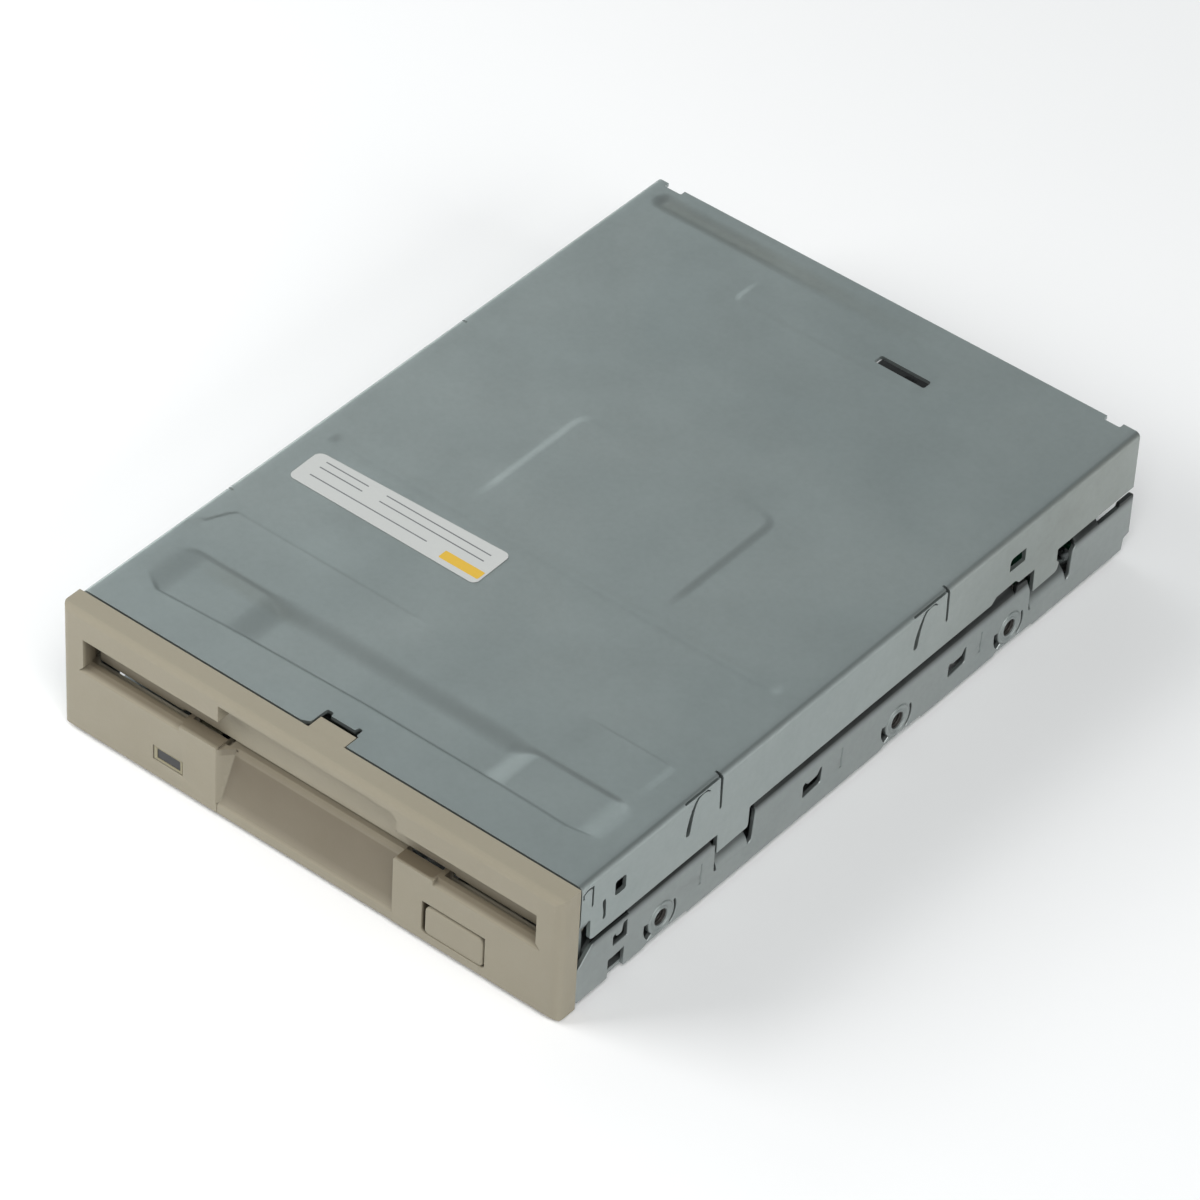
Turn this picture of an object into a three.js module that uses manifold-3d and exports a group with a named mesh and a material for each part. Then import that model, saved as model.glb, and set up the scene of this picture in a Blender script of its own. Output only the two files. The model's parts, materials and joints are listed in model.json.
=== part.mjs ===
import * as THREE from 'three';
import { mergeVertices } from 'three/addons/utils/BufferGeometryUtils.js';
import Module from 'manifold-3d';

// Floppy disk drive, 3.5 inch, 1 inch high. Millimetres.
// Frame of the drawing: X to the right seen from the front, Y from the bezel's face to the rear,
// Z up from the faces of the four bottom bosses. The outer group moves the drawing so that
// the origin is at the middle of the footprint.

// ---------- driving dimensions ----------
const BEZEL_W = 101.6;          // bezel width
const BEZEL_T = 4.5;            // bezel thickness
const HEIGHT = 25.4;            // bottom bosses to bezel top
const CASE_HX = 50.6;           // half width of cover and frame
const COVER_Z = 25.2;           // top of the cover
const COVER_Y0 = 4.7, COVER_Y1 = 148.4;
const FRAME_Y0 = 4.8, DEPTH = 148.8;
const SHEET = 0.8;              // frame sheet
const COVER_T = 0.7;            // cover sheet
const FRAME_TOP = 12.1, FRAME_BOT = 0.9;
const HOLE_Z = 4.75, HOLE_Y = [25.2, 85.2, 115.2]; // side mounting holes, 60 and 90 apart
const BOSS_X = 45.0, BOSS_Y = [25.2, 115.2];       // bottom mounting holes
const SPINDLE_Y = 56.5;         // spindle axis
const TRACK0_R = 39.5;          // radius of the outermost track
const SEEK = 14.8;              // 79 steps of 0.1875
const EJECT = 5.0;              // slider travel
const LIFT = 2.2;               // holder travel
const ARM_DEG = 9.8;            // upper head arm, raised while the drive is empty
const SCREW_X = -15, SCREW_Z = 10.0;
const ROD_X = 13, ROD_Z = 9.0;
const PIN_Y = [26, 84], PIN_Z = 17.0;

const wasm = await Module();
wasm.setup();

// ---------- helpers ----------
const drive = new THREE.Group();
drive.name = 'drawing';
drive.position.set(0, -DEPTH / 2, 0);

function solid(geometry) {
  const g = geometry.clone();
  g.deleteAttribute('normal');
  g.deleteAttribute('uv');
  const m = mergeVertices(g, 1e-4);
  return new wasm.Manifold(new wasm.Mesh({
    numProp: 3,
    vertProperties: new Float32Array(m.attributes.position.array),
    triVerts: new Uint32Array(m.index.array),
  }));
}
function surface(manifold) {
  const mesh = manifold.getMesh();
  const g = new THREE.BufferGeometry();
  g.setAttribute('position', new THREE.BufferAttribute(new Float32Array(mesh.vertProperties), 3));
  g.setIndex(new THREE.BufferAttribute(new Uint32Array(mesh.triVerts), 1));
  g.computeVertexNormals();
  return g;
}
function box(x0, x1, y0, y1, z0, z1) {
  return solid(new THREE.BoxGeometry(x1 - x0, y1 - y0, z1 - z0)
    .translate((x0 + x1) / 2, (y0 + y1) / 2, (z0 + z1) / 2));
}
// cylinder along an axis: u and v are the centre in the plane across it
function rod(axis, r, a, b, u, v, n = 24, r2 = r) {
  const g = new THREE.CylinderGeometry(r2, r, b - a, n);
  if (axis === 'z') g.rotateX(Math.PI / 2).translate(u, v, (a + b) / 2);
  if (axis === 'y') g.translate(u, (a + b) / 2, v);
  if (axis === 'x') g.rotateZ(-Math.PI / 2).translate((a + b) / 2, u, v);
  return solid(g);
}
// flat profile pushed along an axis; points are (y,z) for x, (x,z) for y and (x,y) for z
function slab(axis, points, a, b, holes = []) {
  const shape = new THREE.Shape(points.map(([p, q]) => new THREE.Vector2(p, q)));
  for (const h of holes) shape.holes.push(new THREE.Path(h.map(([p, q]) => new THREE.Vector2(p, q))));
  const g = new THREE.ExtrudeGeometry(shape, { depth: b - a, bevelEnabled: false, steps: 1 });
  const m = new THREE.Matrix4();
  if (axis === 'z') g.translate(0, 0, a);
  if (axis === 'x') {
    m.makeBasis(new THREE.Vector3(0, 1, 0), new THREE.Vector3(0, 0, 1), new THREE.Vector3(1, 0, 0));
    g.applyMatrix4(m).translate(a, 0, 0);
  }
  if (axis === 'y') {
    m.makeBasis(new THREE.Vector3(1, 0, 0), new THREE.Vector3(0, 0, 1), new THREE.Vector3(0, -1, 0));
    g.applyMatrix4(m).translate(0, b, 0);
  }
  return solid(g);
}
function circle(cx, cy, r, n = 24) {
  return Array.from({ length: n }, (_, i) => [cx + r * Math.cos(2 * Math.PI * i / n), cy + r * Math.sin(2 * Math.PI * i / n)]);
}
// rounded rectangle outline
function rounded(x0, x1, y0, y1, r, n = 4) {
  const out = [];
  const corner = (cx, cy, a0) => {
    for (let i = 0; i <= n; i++) {
      const a = a0 + Math.PI / 2 * i / n;
      out.push([cx + r * Math.cos(a), cy + r * Math.sin(a)]);
    }
  };
  corner(x1 - r, y0 + r, -Math.PI / 2);
  corner(x1 - r, y1 - r, 0);
  corner(x0 + r, y1 - r, Math.PI / 2);
  corner(x0 + r, y0 + r, Math.PI);
  return out;
}
// sector of a ring, angles in degrees
function sector(cx, cy, r0, r1, a0, a1, n = 8) {
  const out = [];
  for (let i = 0; i <= n; i++) {
    const a = THREE.MathUtils.degToRad(a0 + (a1 - a0) * i / n);
    out.push([cx + r1 * Math.cos(a), cy + r1 * Math.sin(a)]);
  }
  for (let i = n; i >= 0; i--) {
    const a = THREE.MathUtils.degToRad(a0 + (a1 - a0) * i / n);
    out.push([cx + r0 * Math.cos(a), cy + r0 * Math.sin(a)]);
  }
  return out;
}
// body of revolution about a vertical axis; profile of (radius, z) that closes on itself
function turned(profile, cx, cy, n = 32) {
  const closed = profile[0][0] === 0 ? profile : [...profile, profile[0]];
  return solid(new THREE.LatheGeometry(closed.map(([r, z]) => new THREE.Vector2(r, z)), n).rotateX(Math.PI / 2).translate(cx, cy, 0));
}
const join = (...parts) => parts.reduce((a, b) => a.add(b));
const cut = (body, ...tools) => tools.reduce((a, b) => a.subtract(b), body);
function mirror(m) { return m.mirror([1, 0, 0]); }

const finish = {
  zinc: { color: 0x8b9896, roughness: 0.42, metalness: 0.85 },
  steel: { color: 0x9aa2a2, roughness: 0.35, metalness: 0.9 },
  bright: { color: 0xc6caca, roughness: 0.22, metalness: 1.0 },
  beige: { color: 0xa9a28f, roughness: 0.6, metalness: 0 },
  black: { color: 0x1c1c1d, roughness: 0.55, metalness: 0 },
  nylon: { color: 0xd9d5c8, roughness: 0.5, metalness: 0 },
  board: { color: 0x1f5a3a, roughness: 0.5, metalness: 0 },
  flex: { color: 0xb4712c, roughness: 0.4, metalness: 0 },
  white: { color: 0xd4d7d6, roughness: 0.6, metalness: 0 },
  lens: { color: 0x6a6a66, roughness: 0.2, metalness: 0 },
  magnet: { color: 0x2b2724, roughness: 0.6, metalness: 0.2 },
  copper: { color: 0xa5562a, roughness: 0.4, metalness: 0.6 },
  bronze: { color: 0x9a7440, roughness: 0.4, metalness: 0.8 },
  alu: { color: 0xaeb2b2, roughness: 0.45, metalness: 0.9 },
  ceramic: { color: 0x8f8a80, roughness: 0.3, metalness: 0 },
};
function piece(name, manifold, look, parent = drive) {
  const mesh = new THREE.Mesh(surface(manifold), new THREE.MeshStandardMaterial({ ...finish[look] }));
  mesh.name = name;
  parent.add(mesh);
  return mesh;
}

// ---------- front bezel ----------
const HX = BEZEL_W / 2;
let bezel = slab('z', [[-HX + 1.2, 0], [HX - 1.2, 0], [HX - 0.35, 0.35], [HX, 1.2], [HX, BEZEL_T], [-HX, BEZEL_T], [-HX, 1.2], [-HX + 0.35, 0.35]], 0.4, HEIGHT);
bezel = cut(bezel,
  slab('x', [[-1, HEIGHT + 1], [-1, 24.2], [0.9, HEIGHT + 0.1], [0.9, HEIGHT + 1]], -60, 60),      // top front edge
  slab('x', [[-1, -0.6], [1, -0.6], [1, 0.35], [-0.1, 1.2], [-1, 1.2]], -60, 60),                   // bottom front edge
  box(-46, 46, -1, 6, 14.5, 20.4),                                                                   // disk slot
  slab('x', [[-1, 13.6], [0, 14.0], [1.3, 14.6], [1.3, 16], [-1, 16]], -47.4, -25.9),                // bevel under the slot
  slab('x', [[-1, 13.6], [0, 14.0], [1.3, 14.6], [1.3, 16], [-1, 16]], 25.9, 47.4),
  slab('z', [[-48.4, -1], [-46, -1], [-46, 1.4], [-47.6, 0]], 14.1, 20.4),                           // bevels at the slot's ends
  slab('z', [[48.4, -1], [47.6, 0], [46, 1.4], [46, -1]], 14.1, 20.4),
  slab('x', [[-1, 20.3], [2.9, 20.3], [2.9, 20.9], [0, 23.7], [-1, 23.7]], -17.8, 18.2),             // upper finger relief
  box(-46.8, 46.8, 2.9, 6, 14.5, 23.6),                                                              // room for the flap and its axis
  slab('x', [[-1, 2.2], [0, 2.9], [3.7, 13.9], [3.7, 14.6], [-1, 14.6]], -18.2, 18.2),               // lower finger recess
  slab('y', rounded(23.9, 36.5, 2.7, 9.2, 0.8), -1, 6),                                              // button opening
  box(-31.4, -25.1, -1, 6, 4.4, 7.4),                                                                // lamp opening
);
// raised lips beside the finger recess, latch tab on top, hooks behind, flap bearings
bezel = join(bezel,
  box(-3.5, 3.7, BEZEL_T - 0.1, 7.7, 23.7, 25.1),
  box(-49.2, -47.2, BEZEL_T - 0.1, 7.6, 14.0, 22.0), box(47.2, 49.2, BEZEL_T - 0.1, 7.6, 14.0, 22.0),
  box(-44.0, -36.0, BEZEL_T - 0.1, 7.6, 2.4, 4.0), box(8.0, 16.0, BEZEL_T - 0.1, 7.6, 2.4, 4.0),
);
piece('front_bezel', bezel, 'beige');

// ---------- dust flap: hangs from its axis at the top of the slot ----------
const FLAP_Y = 3.75, FLAP_Z = 22.0;
let flap = join(
  slab('x', [[3.15, 14.95], [3.75, 14.75], [4.35, 14.95], [4.35, 22.0], [3.15, 22.0]], -45.5, 45.5),
  rod('x', 0.85, -45.5, 45.5, FLAP_Y, FLAP_Z, 12),
  rod('x', 0.55, -46.5, 46.5, FLAP_Y, FLAP_Z, 12),
);
piece('slot_flap', flap, 'beige');
piece('flap_spring', cut(rod('x', 0.62, 38.0, 42.0, 6.6, 22.6, 10), rod('x', 0.3, 37.9, 42.1, 6.6, 22.6, 8)), 'bright');

// ---------- lamp ----------
piece('led_lens', join(box(-31.2, -25.3, 0.05, 8.0, 4.6, 7.2), box(-31.6, -24.9, 8.0, 9.2, 4.2, 7.6)), 'lens');
piece('lamp_holder', join(box(-32.0, -24.5, 9.3, 13.0, 1.8, 8.0), box(-34.0, -22.0, 9.3, 13.0, 1.8, 2.8)), 'black');

// ---------- cover ----------
function flangeCuts() {
  return [
    box(49, 52, 4, 38.5, 0, 12.5), box(49, 52, 38.4, 46.6, 0, 8.4), box(49, 52, 46.5, 109.8, 0, 13.0), box(49, 52, 109.8, 116.0, 0, 14.4),
    box(49, 52, 116.0, 120.9, 0, 13.6), box(49, 52, 120.8, 129.4, 0, 8.5), box(49, 52, 127.8, 129.3, 8.5, 11.0),
    box(49, 52, 129.3, 150, 0, 13.7),
    box(49, 52, 13.2, 15.8, 17.8, 20.7),               // square hole
    box(49, 52, 113.5, 117.7, 17.6, 20.2),             // rear window
    box(49, 52, 38.55, 38.95, 18.4, 24.4), box(49, 52, 29.9, 30.4, 18.4, 22.6),   // slits of the spring tongues
    box(49, 52, 96.2, 96.6, 19.0, 24.4), box(49, 52, 87.6, 88.1, 19.0, 23.2),
    box(49, 52, 7.5, 7.9, 19.9, 23.6), box(49, 52, 10.4, 10.9, 15.4, 18.5),
    box(49, 52, 4, 8.2, 12, 16.5),                      // relief beside the bezel
  ];
}
let cover = slab('y', [
  [-CASE_HX, 8.4], [-CASE_HX + COVER_T, 8.4], [-CASE_HX + COVER_T, COVER_Z - COVER_T - 0.3], [-CASE_HX + COVER_T + 0.3, COVER_Z - COVER_T],
  [CASE_HX - COVER_T - 0.3, COVER_Z - COVER_T], [CASE_HX - COVER_T, COVER_Z - COVER_T - 0.3], [CASE_HX - COVER_T, 8.4], [CASE_HX, 8.4],
  [CASE_HX, COVER_Z - 0.7], [CASE_HX - 0.2, COVER_Z - 0.2], [CASE_HX - 0.7, COVER_Z],
  [-CASE_HX + 0.7, COVER_Z], [-CASE_HX + 0.2, COVER_Z - 0.2], [-CASE_HX, COVER_Z - 0.7]], COVER_Y0, COVER_Y1);
cover = join(cover, box(-44.6, 43.8, COVER_Y1 - COVER_T, COVER_Y1, 17.2, COVER_Z - 0.3));   // rear flange
const flanges = flangeCuts();
cover = cut(cover, ...flanges, ...flanges.map(mirror),
  slab('z', rounded(7.4, 17.3, 133.8, 135.4, 0.5, 3), 24, 26),
  box(-48.2, -44.7, 147.2, 150, 24, 26), box(43.9, 47.2, 147.2, 150, 24, 26),
  box(-3.8, 3.9, 4, 8.0, 23, 26), box(-3.8, 3.4, 7.8, 8.6, 24, 26), box(-3.8, -2.2, 8.5, 9.4, 24, 26), box(2.6, 3.5, 8.5, 9.4, 24, 26),
);
piece('top_cover', cover, 'zinc');
piece('cover_label', slab('z', rounded(-44.7, -5.9, 47.7, 55.7, 1.2), COVER_Z + 0.02, COVER_Z + 0.14), 'white');

// ---------- folded frame ----------
const bottomEdge = [[FRAME_Y0, 1.0], [12.5, 1.0], [12.5, 4.6], [13.6, 4.6], [16.4, 4.9], [16.2, FRAME_BOT]];
for (const y of HOLE_Y) bottomEdge.push([y - 3.4, FRAME_BOT], [y - 3.1, 1.8], [y + 2.4, 1.8], [y + 3.2, 1.3], [y + 6.4, 1.3], [y + 6.8, FRAME_BOT]);
bottomEdge.push([DEPTH - 1.8, FRAME_BOT], [DEPTH - 1.6, 3.4], [DEPTH, 3.6]);
const topEdge = [
  [DEPTH, FRAME_TOP], [144.9, FRAME_TOP], [144.6, 11.6], [139.4, 11.6], [139.1, FRAME_TOP],
  [132.0, FRAME_TOP], [131.8, 5.0], [120.4, 5.0], [120.2, 9.6], [119.0, 12.8], [116.4, 13.0], [115.8, FRAME_TOP],
  [48.0, FRAME_TOP], [48.0, 4.9], [38.0, 4.9], [37.6, 11.6], [10.8, 11.6], [8.3, 11.2], [FRAME_Y0, 7.9]];
const wallHoles = [
  [[13.5, 7.2], [16.9, 7.2], [16.9, 10.2], [15.6, 10.4], [13.5, 9.6]],
  [[60.6, 5.0], [65.3, 5.3], [65.4, 8.4], [64.6, 7.4], [60.6, 7.9]],
  [[98.6, 5.0], [103.2, 5.3], [103.3, 8.4], [102.5, 7.4], [98.6, 7.6]],
];
for (const y of HOLE_Y) {
  wallHoles.push(circle(y, HOLE_Z, 1.35, 12));
  wallHoles.push(sector(y, HOLE_Z, 3.1, 3.9, 165, 222, 3));
  wallHoles.push(sector(y, HOLE_Z, 3.35, 3.75, -40, 14, 3));
}
let wall = slab('x', [...bottomEdge, ...topEdge], CASE_HX - SHEET, CASE_HX, wallHoles);
for (const y of HOLE_Y) {
  wall = join(wall, cut(join(rod('x', 3.0, CASE_HX - 0.9, 50.8, y, HOLE_Z, 20), rod('x', 2.1, 48.4, 50.0, y, HOLE_Z, 12)), rod('x', 1.3, 48, 51, y, HOLE_Z, 12)));
}
// lips that hold the cover's tabs, guide ears for the holder pins
wall = join(wall,
  slab('y', [[49.0, 4.6], [49.9, 4.6], [49.9, 5.4], [49.7, 7.4], [49.2, 8.0], [48.7, 7.8], [48.9, 5.4]], 39.0, 46.4),
  slab('y', [[49.0, 4.6], [49.9, 4.6], [49.9, 5.4], [49.7, 7.4], [49.2, 8.0], [48.7, 7.8], [48.9, 5.4]], 121.0, 129.2),
);
wall = join(wall, box(48.4, 49.2, 27.9, 29.6, 19.0, 23.8), box(42.9, 49.2, 28.8, 29.6, 22.5, 23.8));
for (const y of PIN_Y) {
  wall = join(wall, box(48.4, 49.9, y - 3.6, y + 3.6, 9.4, 11.4), cut(box(48.4, 49.2, y - 3.6, y + 3.6, 9.4, 19.8),
    box(48, 49.6, y - 1.35, y + 1.35, PIN_Z - LIFT - 1.5, PIN_Z + 1.5)));
}
const floorOutline = [[-50, 10], [-50, 146.4], [50, 146.4], [50, 10], [44, 8], [-44, 8]];
const floorHoles = [
  rounded(42.8, 48.4, 101, 113, 0.8, 2), rounded(-48.4, -42.8, 101, 113, 0.8, 2),
  rounded(-36, 38, 117, 142, 2, 3), rounded(-9, 9, 86, 110, 1.5, 3),
  circle(0, SPINDLE_Y, 9, 20), rounded(36, 41, 36, 76, 1, 2), rounded(-41, -36, 36, 76, 1, 2),
  rounded(-20, -2, 12, 20, 1, 2), rounded(2, 20, 12, 20, 1, 2),
];
for (const x of [-BOSS_X, BOSS_X]) for (const y of BOSS_Y) floorHoles.push(circle(x, y, 1.35, 12));
// the right and left windows in the floor end clear of the rear bosses
floorHoles.splice(0, 2, rounded(42.8, 48.4, 100, 110, 0.8, 2), rounded(-48.4, -42.8, 100, 110, 0.8, 2));
let floor = slab('z', floorOutline, FRAME_BOT, FRAME_BOT + SHEET, floorHoles);
for (const x of [-BOSS_X, BOSS_X]) for (const y of BOSS_Y) {
  floor = join(floor, cut(join(rod('z', 3.2, 0, FRAME_BOT + 0.2, x, y, 20), rod('z', 2.0, 0.4, 3.2, x, y, 12)), rod('z', 1.3, -1, 4, x, y, 12)));
}
const frame = join(floor, wall, mirror(wall));
piece('chassis_frame', frame, 'zinc');

// ---------- disk holder, at its raised position ----------
let holder = join(
  box(-46.2, 46.2, 12.0, 104.0, 19.9, 20.6),
  box(45.4, 46.2, 12.0, 104.0, 14.6, 20.6), box(-46.2, -45.4, 12.0, 104.0, 14.6, 20.6),
  box(41.0, 46.2, 14.0, 104.0, 14.6, 15.2), box(-46.2, -41.0, 14.0, 104.0, 14.6, 15.2),
  box(24.0, 41.2, 103.3, 104.0, 15.4, 20.6), box(-45.6, -14.0, 103.3, 104.0, 15.4, 20.6),
);
holder = cut(holder,
  box(-11.0, 22.0, 74.0, 103.0, 19, 22), box(-11.0, 22.0, 100, 106, 14, 22),
  slab('z', rounded(-30, 30, 20, 34, 3, 3), 19, 22),
);
// four pins staked in its sides, and the stud that the shutter lever turns on
for (const y of PIN_Y) {
  const pin = join(rod('x', 1.0, 45.6, 49.3, y, PIN_Z, 12), rod('x', 1.6, 46.1, 46.5, y, PIN_Z, 12));
  holder = join(holder, pin, mirror(pin));
}
holder = join(holder, rod('z', 1.0, 20.3, 23.5, 40, 100, 12), rod('z', 1.9, 23.4, 23.9, 40, 100, 12));
piece('media_holder', holder, 'zinc');

// ---------- eject slider with sloped cam slots ----------
const sidePlate = [[14, 11.0], [95, 11.0], [95, 20.0], [82, 22.0], [14, 22.0]];
const cams = PIN_Y.map((y) => {
  const r = 1.32, dy = EJECT, dz = -LIFT, l = Math.hypot(dy, dz), nx = -dz / l, ny = dy / l, tx = dy / l, ty = dz / l;
  const a = [y - tx * r, PIN_Z - ty * r], b = [y + dy + tx * r, PIN_Z + dz + ty * r];
  return [[a[0] + nx * r, a[1] + ny * r], [a[0] - nx * r, a[1] - ny * r], [b[0] - nx * r, b[1] - ny * r], [b[0] + nx * r, b[1] + ny * r]];
});
const plate = slab('x', sidePlate, 46.8, 47.6, cams);
let slider = join(plate, mirror(plate), box(-47.6, 47.6, 14.0, 52.0, 21.2, 22.0), box(42.9, 47.6, 79.9, 80.7, 21.2, 23.6), box(-47.6, -42.9, 79.9, 80.7, 21.2, 23.6),
  box(28.6, 47.2, 15.2, 16.2, 5.2, 12.5), box(46.6, 47.6, 14.0, 17.0, 5.2, 12.0));
slider = cut(slider, slab('z', rounded(-36, -8, 22, 46, 2, 3), 20.9, 23), slab('z', rounded(8, 36, 22, 46, 2, 3), 20.9, 23), box(-6, 6, 12, 20, 20.9, 23),
  box(29.4, 31.4, 14, 18, 5.0, 7.4));
piece('eject_slider', slider, 'steel');

// ---------- eject button ----------
let button = join(
  slab('y', rounded(24.5, 36.1, 3.05, 8.85, 0.8), 0.9, 2.6),
  slab('y', rounded(24.8, 35.8, 3.35, 8.55, 0.7), 0.5, 0.95),
  box(26.0, 34.6, 2.5, 12.0, 3.6, 8.2), box(28.6, 33.4, 11.9, 14.8, 4.4, 7.6), box(29.7, 31.1, 14.7, 17.2, 5.6, 7.1),
);
piece('eject_button', button, 'beige');

// ---------- eject springs ----------
function coil(axis, r, wire, a, b, u, v, turns, n = 8) {
  // hollow sleeve with a ridge for each turn
  const pts = [];
  const steps = turns * 2;
  for (let i = 0; i <= steps; i++) pts.push([r + (i % 2 ? 0 : wire * 0.35), a + (b - a) * i / steps]);
  pts.push([r - wire, b], [r - wire, a]);
  const g = new THREE.LatheGeometry([...pts, pts[0]].map(([p, q]) => new THREE.Vector2(p, q)), n);
  if (axis === 'z') g.rotateX(Math.PI / 2).translate(u, v, 0);
  if (axis === 'y') g.translate(u, 0, v);
  if (axis === 'x') g.rotateZ(-Math.PI / 2).translate(0, u, v);
  return solid(g);
}
for (const [side, s] of [['left', -1], ['right', 1]]) {
  piece(`eject_spring_${side}`, coil('y', 0.85, 0.3, 29.75, 79.75, s * 44.0, 23.2, 10, 6), 'bright');
}

// ---------- shutter lever on the holder ----------
const LX = 40, LY = 100;
const armDir = Math.atan2(80.7 - LY, 17 - LX);
const ux = Math.cos(armDir), uy = Math.sin(armDir), vx = -uy, vy = ux;
const along = (d, w) => [LX + ux * d + vx * w, LY + uy * d + vy * w];
let lever = join(
  slab('z', [along(0, -2.6), along(28, -1.6), along(31.4, -1.6), along(31.4, 1.6), along(28, 1.6), along(0, 2.6)], 20.9, 22.1),
  rod('z', 3.4, 20.9, 22.6, LX, LY, 20),
  rod('z', 1.3, 16.2, 21.2, ...along(30, 0), 14),
);
lever = cut(lever, rod('z', 1.3, 20, 24, LX, LY, 16));
piece('shutter_lever', lever, 'nylon');
piece('lever_spring', coil('z', 2.0, 0.4, 22.7, 23.3, LX, LY, 2, 12), 'bright');

// ---------- spindle motor ----------
let motorBoard = slab('z', rounded(-33.5, 33.5, 27.5, 82.0, 3, 3), 1.8, 3.0, [circle(0, SPINDLE_Y, 3.4, 20)]);
for (const [x, y] of [[-30.5, 30.5], [30.5, 30.5], [-30.5, 79.0]]) motorBoard = cut(motorBoard, rod('z', 1.35, 1, 4, x, y, 14));
piece('motor_board', motorBoard, 'board');
let stator = turned([[5.0, 4.2], [12, 4.2], [12, 7.4], [5.0, 7.4]], 0, SPINDLE_Y, 24);
for (let i = 0; i < 12; i++) {
  const a = i * 30;
  const tooth = join(box(11.9, 16.6, -2.0, 2.0, 4.0, 7.6), box(16.4, 18.4, -3.2, 3.2, 4.9, 6.7));
  stator = stator.add(tooth.rotate([0, 0, a]).translate([0, SPINDLE_Y, 0]));
}
stator = join(stator, ...[45, 165, 285].map((a) => rod('z', 1.2, 3.05, 5.0, 8 * Math.cos(a * Math.PI / 180), SPINDLE_Y + 8 * Math.sin(a * Math.PI / 180), 12)));
piece('stator_core', stator, 'copper');
piece('spindle_bearing', turned([[2.2, 2.0], [3.2, 2.0], [3.2, 3.1], [4.6, 3.1], [4.6, 8.4], [2.2, 8.4]], 0, SPINDLE_Y, 24), 'bronze');
piece('rotor_dish', turned([[2.0, 9.0], [27.2, 9.0], [27.2, 3.6], [28.0, 3.6], [28.0, 9.4], [27.6, 9.8], [2.0, 9.8]], 0, SPINDLE_Y, 32), 'steel');
piece('rotor_magnet', turned([[20.5, 3.9], [27.1, 3.9], [27.1, 8.9], [20.5, 8.9]], 0, SPINDLE_Y, 32), 'magnet');
let hub = turned([[2.0, 9.85], [12.5, 9.85], [12.5, 12.5], [12.1, 12.9], [2.0, 12.9]], 0, SPINDLE_Y, 32);
hub = cut(hub, rod('z', 2.2, 9, 14, 9.6, SPINDLE_Y, 14));
piece('spindle_hub', hub, 'alu');
piece('spindle_shaft', join(rod('z', 1.95, 2.1, 14.6, 0, SPINDLE_Y, 24), rod('z', 1.95, 14.6, 15.0, 0, SPINDLE_Y, 24, 1.5)), 'bright');
piece('drive_pin', join(rod('z', 1.7, 11.4, 14.0, 9.6, SPINDLE_Y, 16), rod('z', 1.7, 14.0, 14.4, 9.6, SPINDLE_Y, 16, 1.3)), 'bright');

// ---------- stepper motor, lead screw ----------
piece('stepper_motor', join(rod('y', 7.3, 122.0, 137.0, SCREW_X, SCREW_Z, 24), rod('y', 3.0, 121.4, 122.1, SCREW_X, SCREW_Z, 20),
  box(-18.5, -11.5, 126, 134, 16.4, 18.4)), 'zinc');
let bracket = join(
  box(-24.0, -6.0, 120.5, 121.3, 1.8, 17.5), box(-17.5, -12.5, 83.0, 121.0, 1.8, 2.6),
  box(-18.5, -11.5, 83.0, 84.0, 1.8, 13.0), box(-26.5, -6.0, 112.0, 121.0, 1.8, 2.6),
);
bracket = cut(bracket, rod('y', 2.6, 119, 122, SCREW_X, SCREW_Z, 20), rod('y', 1.9, 82, 85, SCREW_X, SCREW_Z, 16), rod('z', 1.35, 1, 4, -22.5, 115.5, 14));
piece('stepper_bracket', bracket, 'steel');
let screw = rod('y', 1.5, 86.2, 121.2, SCREW_X, SCREW_Z, 20);
screw = join(screw, rod('y', 0.9, 84.4, 86.4, SCREW_X, SCREW_Z, 14), rod('y', 1.0, 121.0, 123.0, SCREW_X, SCREW_Z, 14));
// the motor is bored for the screw's shank
{
  const motor = drive.getObjectByName('stepper_motor');
  motor.geometry = surface(cut(solid(motor.geometry), rod('y', 1.5, 120, 124, SCREW_X, SCREW_Z, 18)));
}
piece('lead_screw', screw, 'bright');
piece('screw_bearing', cut(join(rod('y', 1.7, 83.05, 85.6, SCREW_X, SCREW_Z, 18), rod('y', 2.6, 84.05, 85.6, SCREW_X, SCREW_Z, 18)), rod('y', 1.15, 84.2, 86, SCREW_X, SCREW_Z, 14)), 'nylon');

// ---------- carriage and heads, at the outermost track ----------
const HEAD_Y = SPINDLE_Y + TRACK0_R;
let carriage = join(
  box(-7.0, 16.5, 100.6, 119.0, 6.6, 11.6), box(-5.0, 5.0, 92.0, 101.0, 10.6, 12.6), box(-5.5, 5.5, 115.0, 119.0, 11.5, 15.6), box(-5.5, 5.5, 112.0, 115.1, 11.5, 14.3),
  box(-6.7, -5.7, 115.2, 118.8, 11.5, 18.4), box(5.7, 6.7, 115.2, 118.8, 11.5, 18.4), box(-6.7, 6.7, 115.2, 118.8, 11.5, 13.0),
  box(-11.6, -6.9, 102.0, 108.0, 8.6, 11.4), box(9.4, 16.6, 100.6, 119.0, 6.0, 12.4), box(17, 20.4, 115.0, 119.0, 8.4, 9.4), box(16, 17.2, 115.0, 119.0, 8.0, 10.0),
);
carriage = cut(carriage, rod('x', 0.82, -7, 7, 117.0, 17.2, 12), rod('y', 1.75, 98, 120, ROD_X, ROD_Z, 12), box(-3.0, 3.0, 101.5, 110.0, 6, 12.5));
piece('head_carriage', carriage, 'black');
piece('lower_head', join(box(-3.2, 3.2, HEAD_Y - 3.2, HEAD_Y + 3.2, 12.65, 13.2), box(-1.5, 1.5, HEAD_Y - 1.7, HEAD_Y + 1.7, 13.1, 15.0)), 'ceramic');
piece('screw_follower', join(box(-13.0, -11.65, 103.0, 107.0, 8.8, 11.2), box(-13.4, -12.9, 104.4, 105.2, 9.2, 10.8)), 'nylon');

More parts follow.
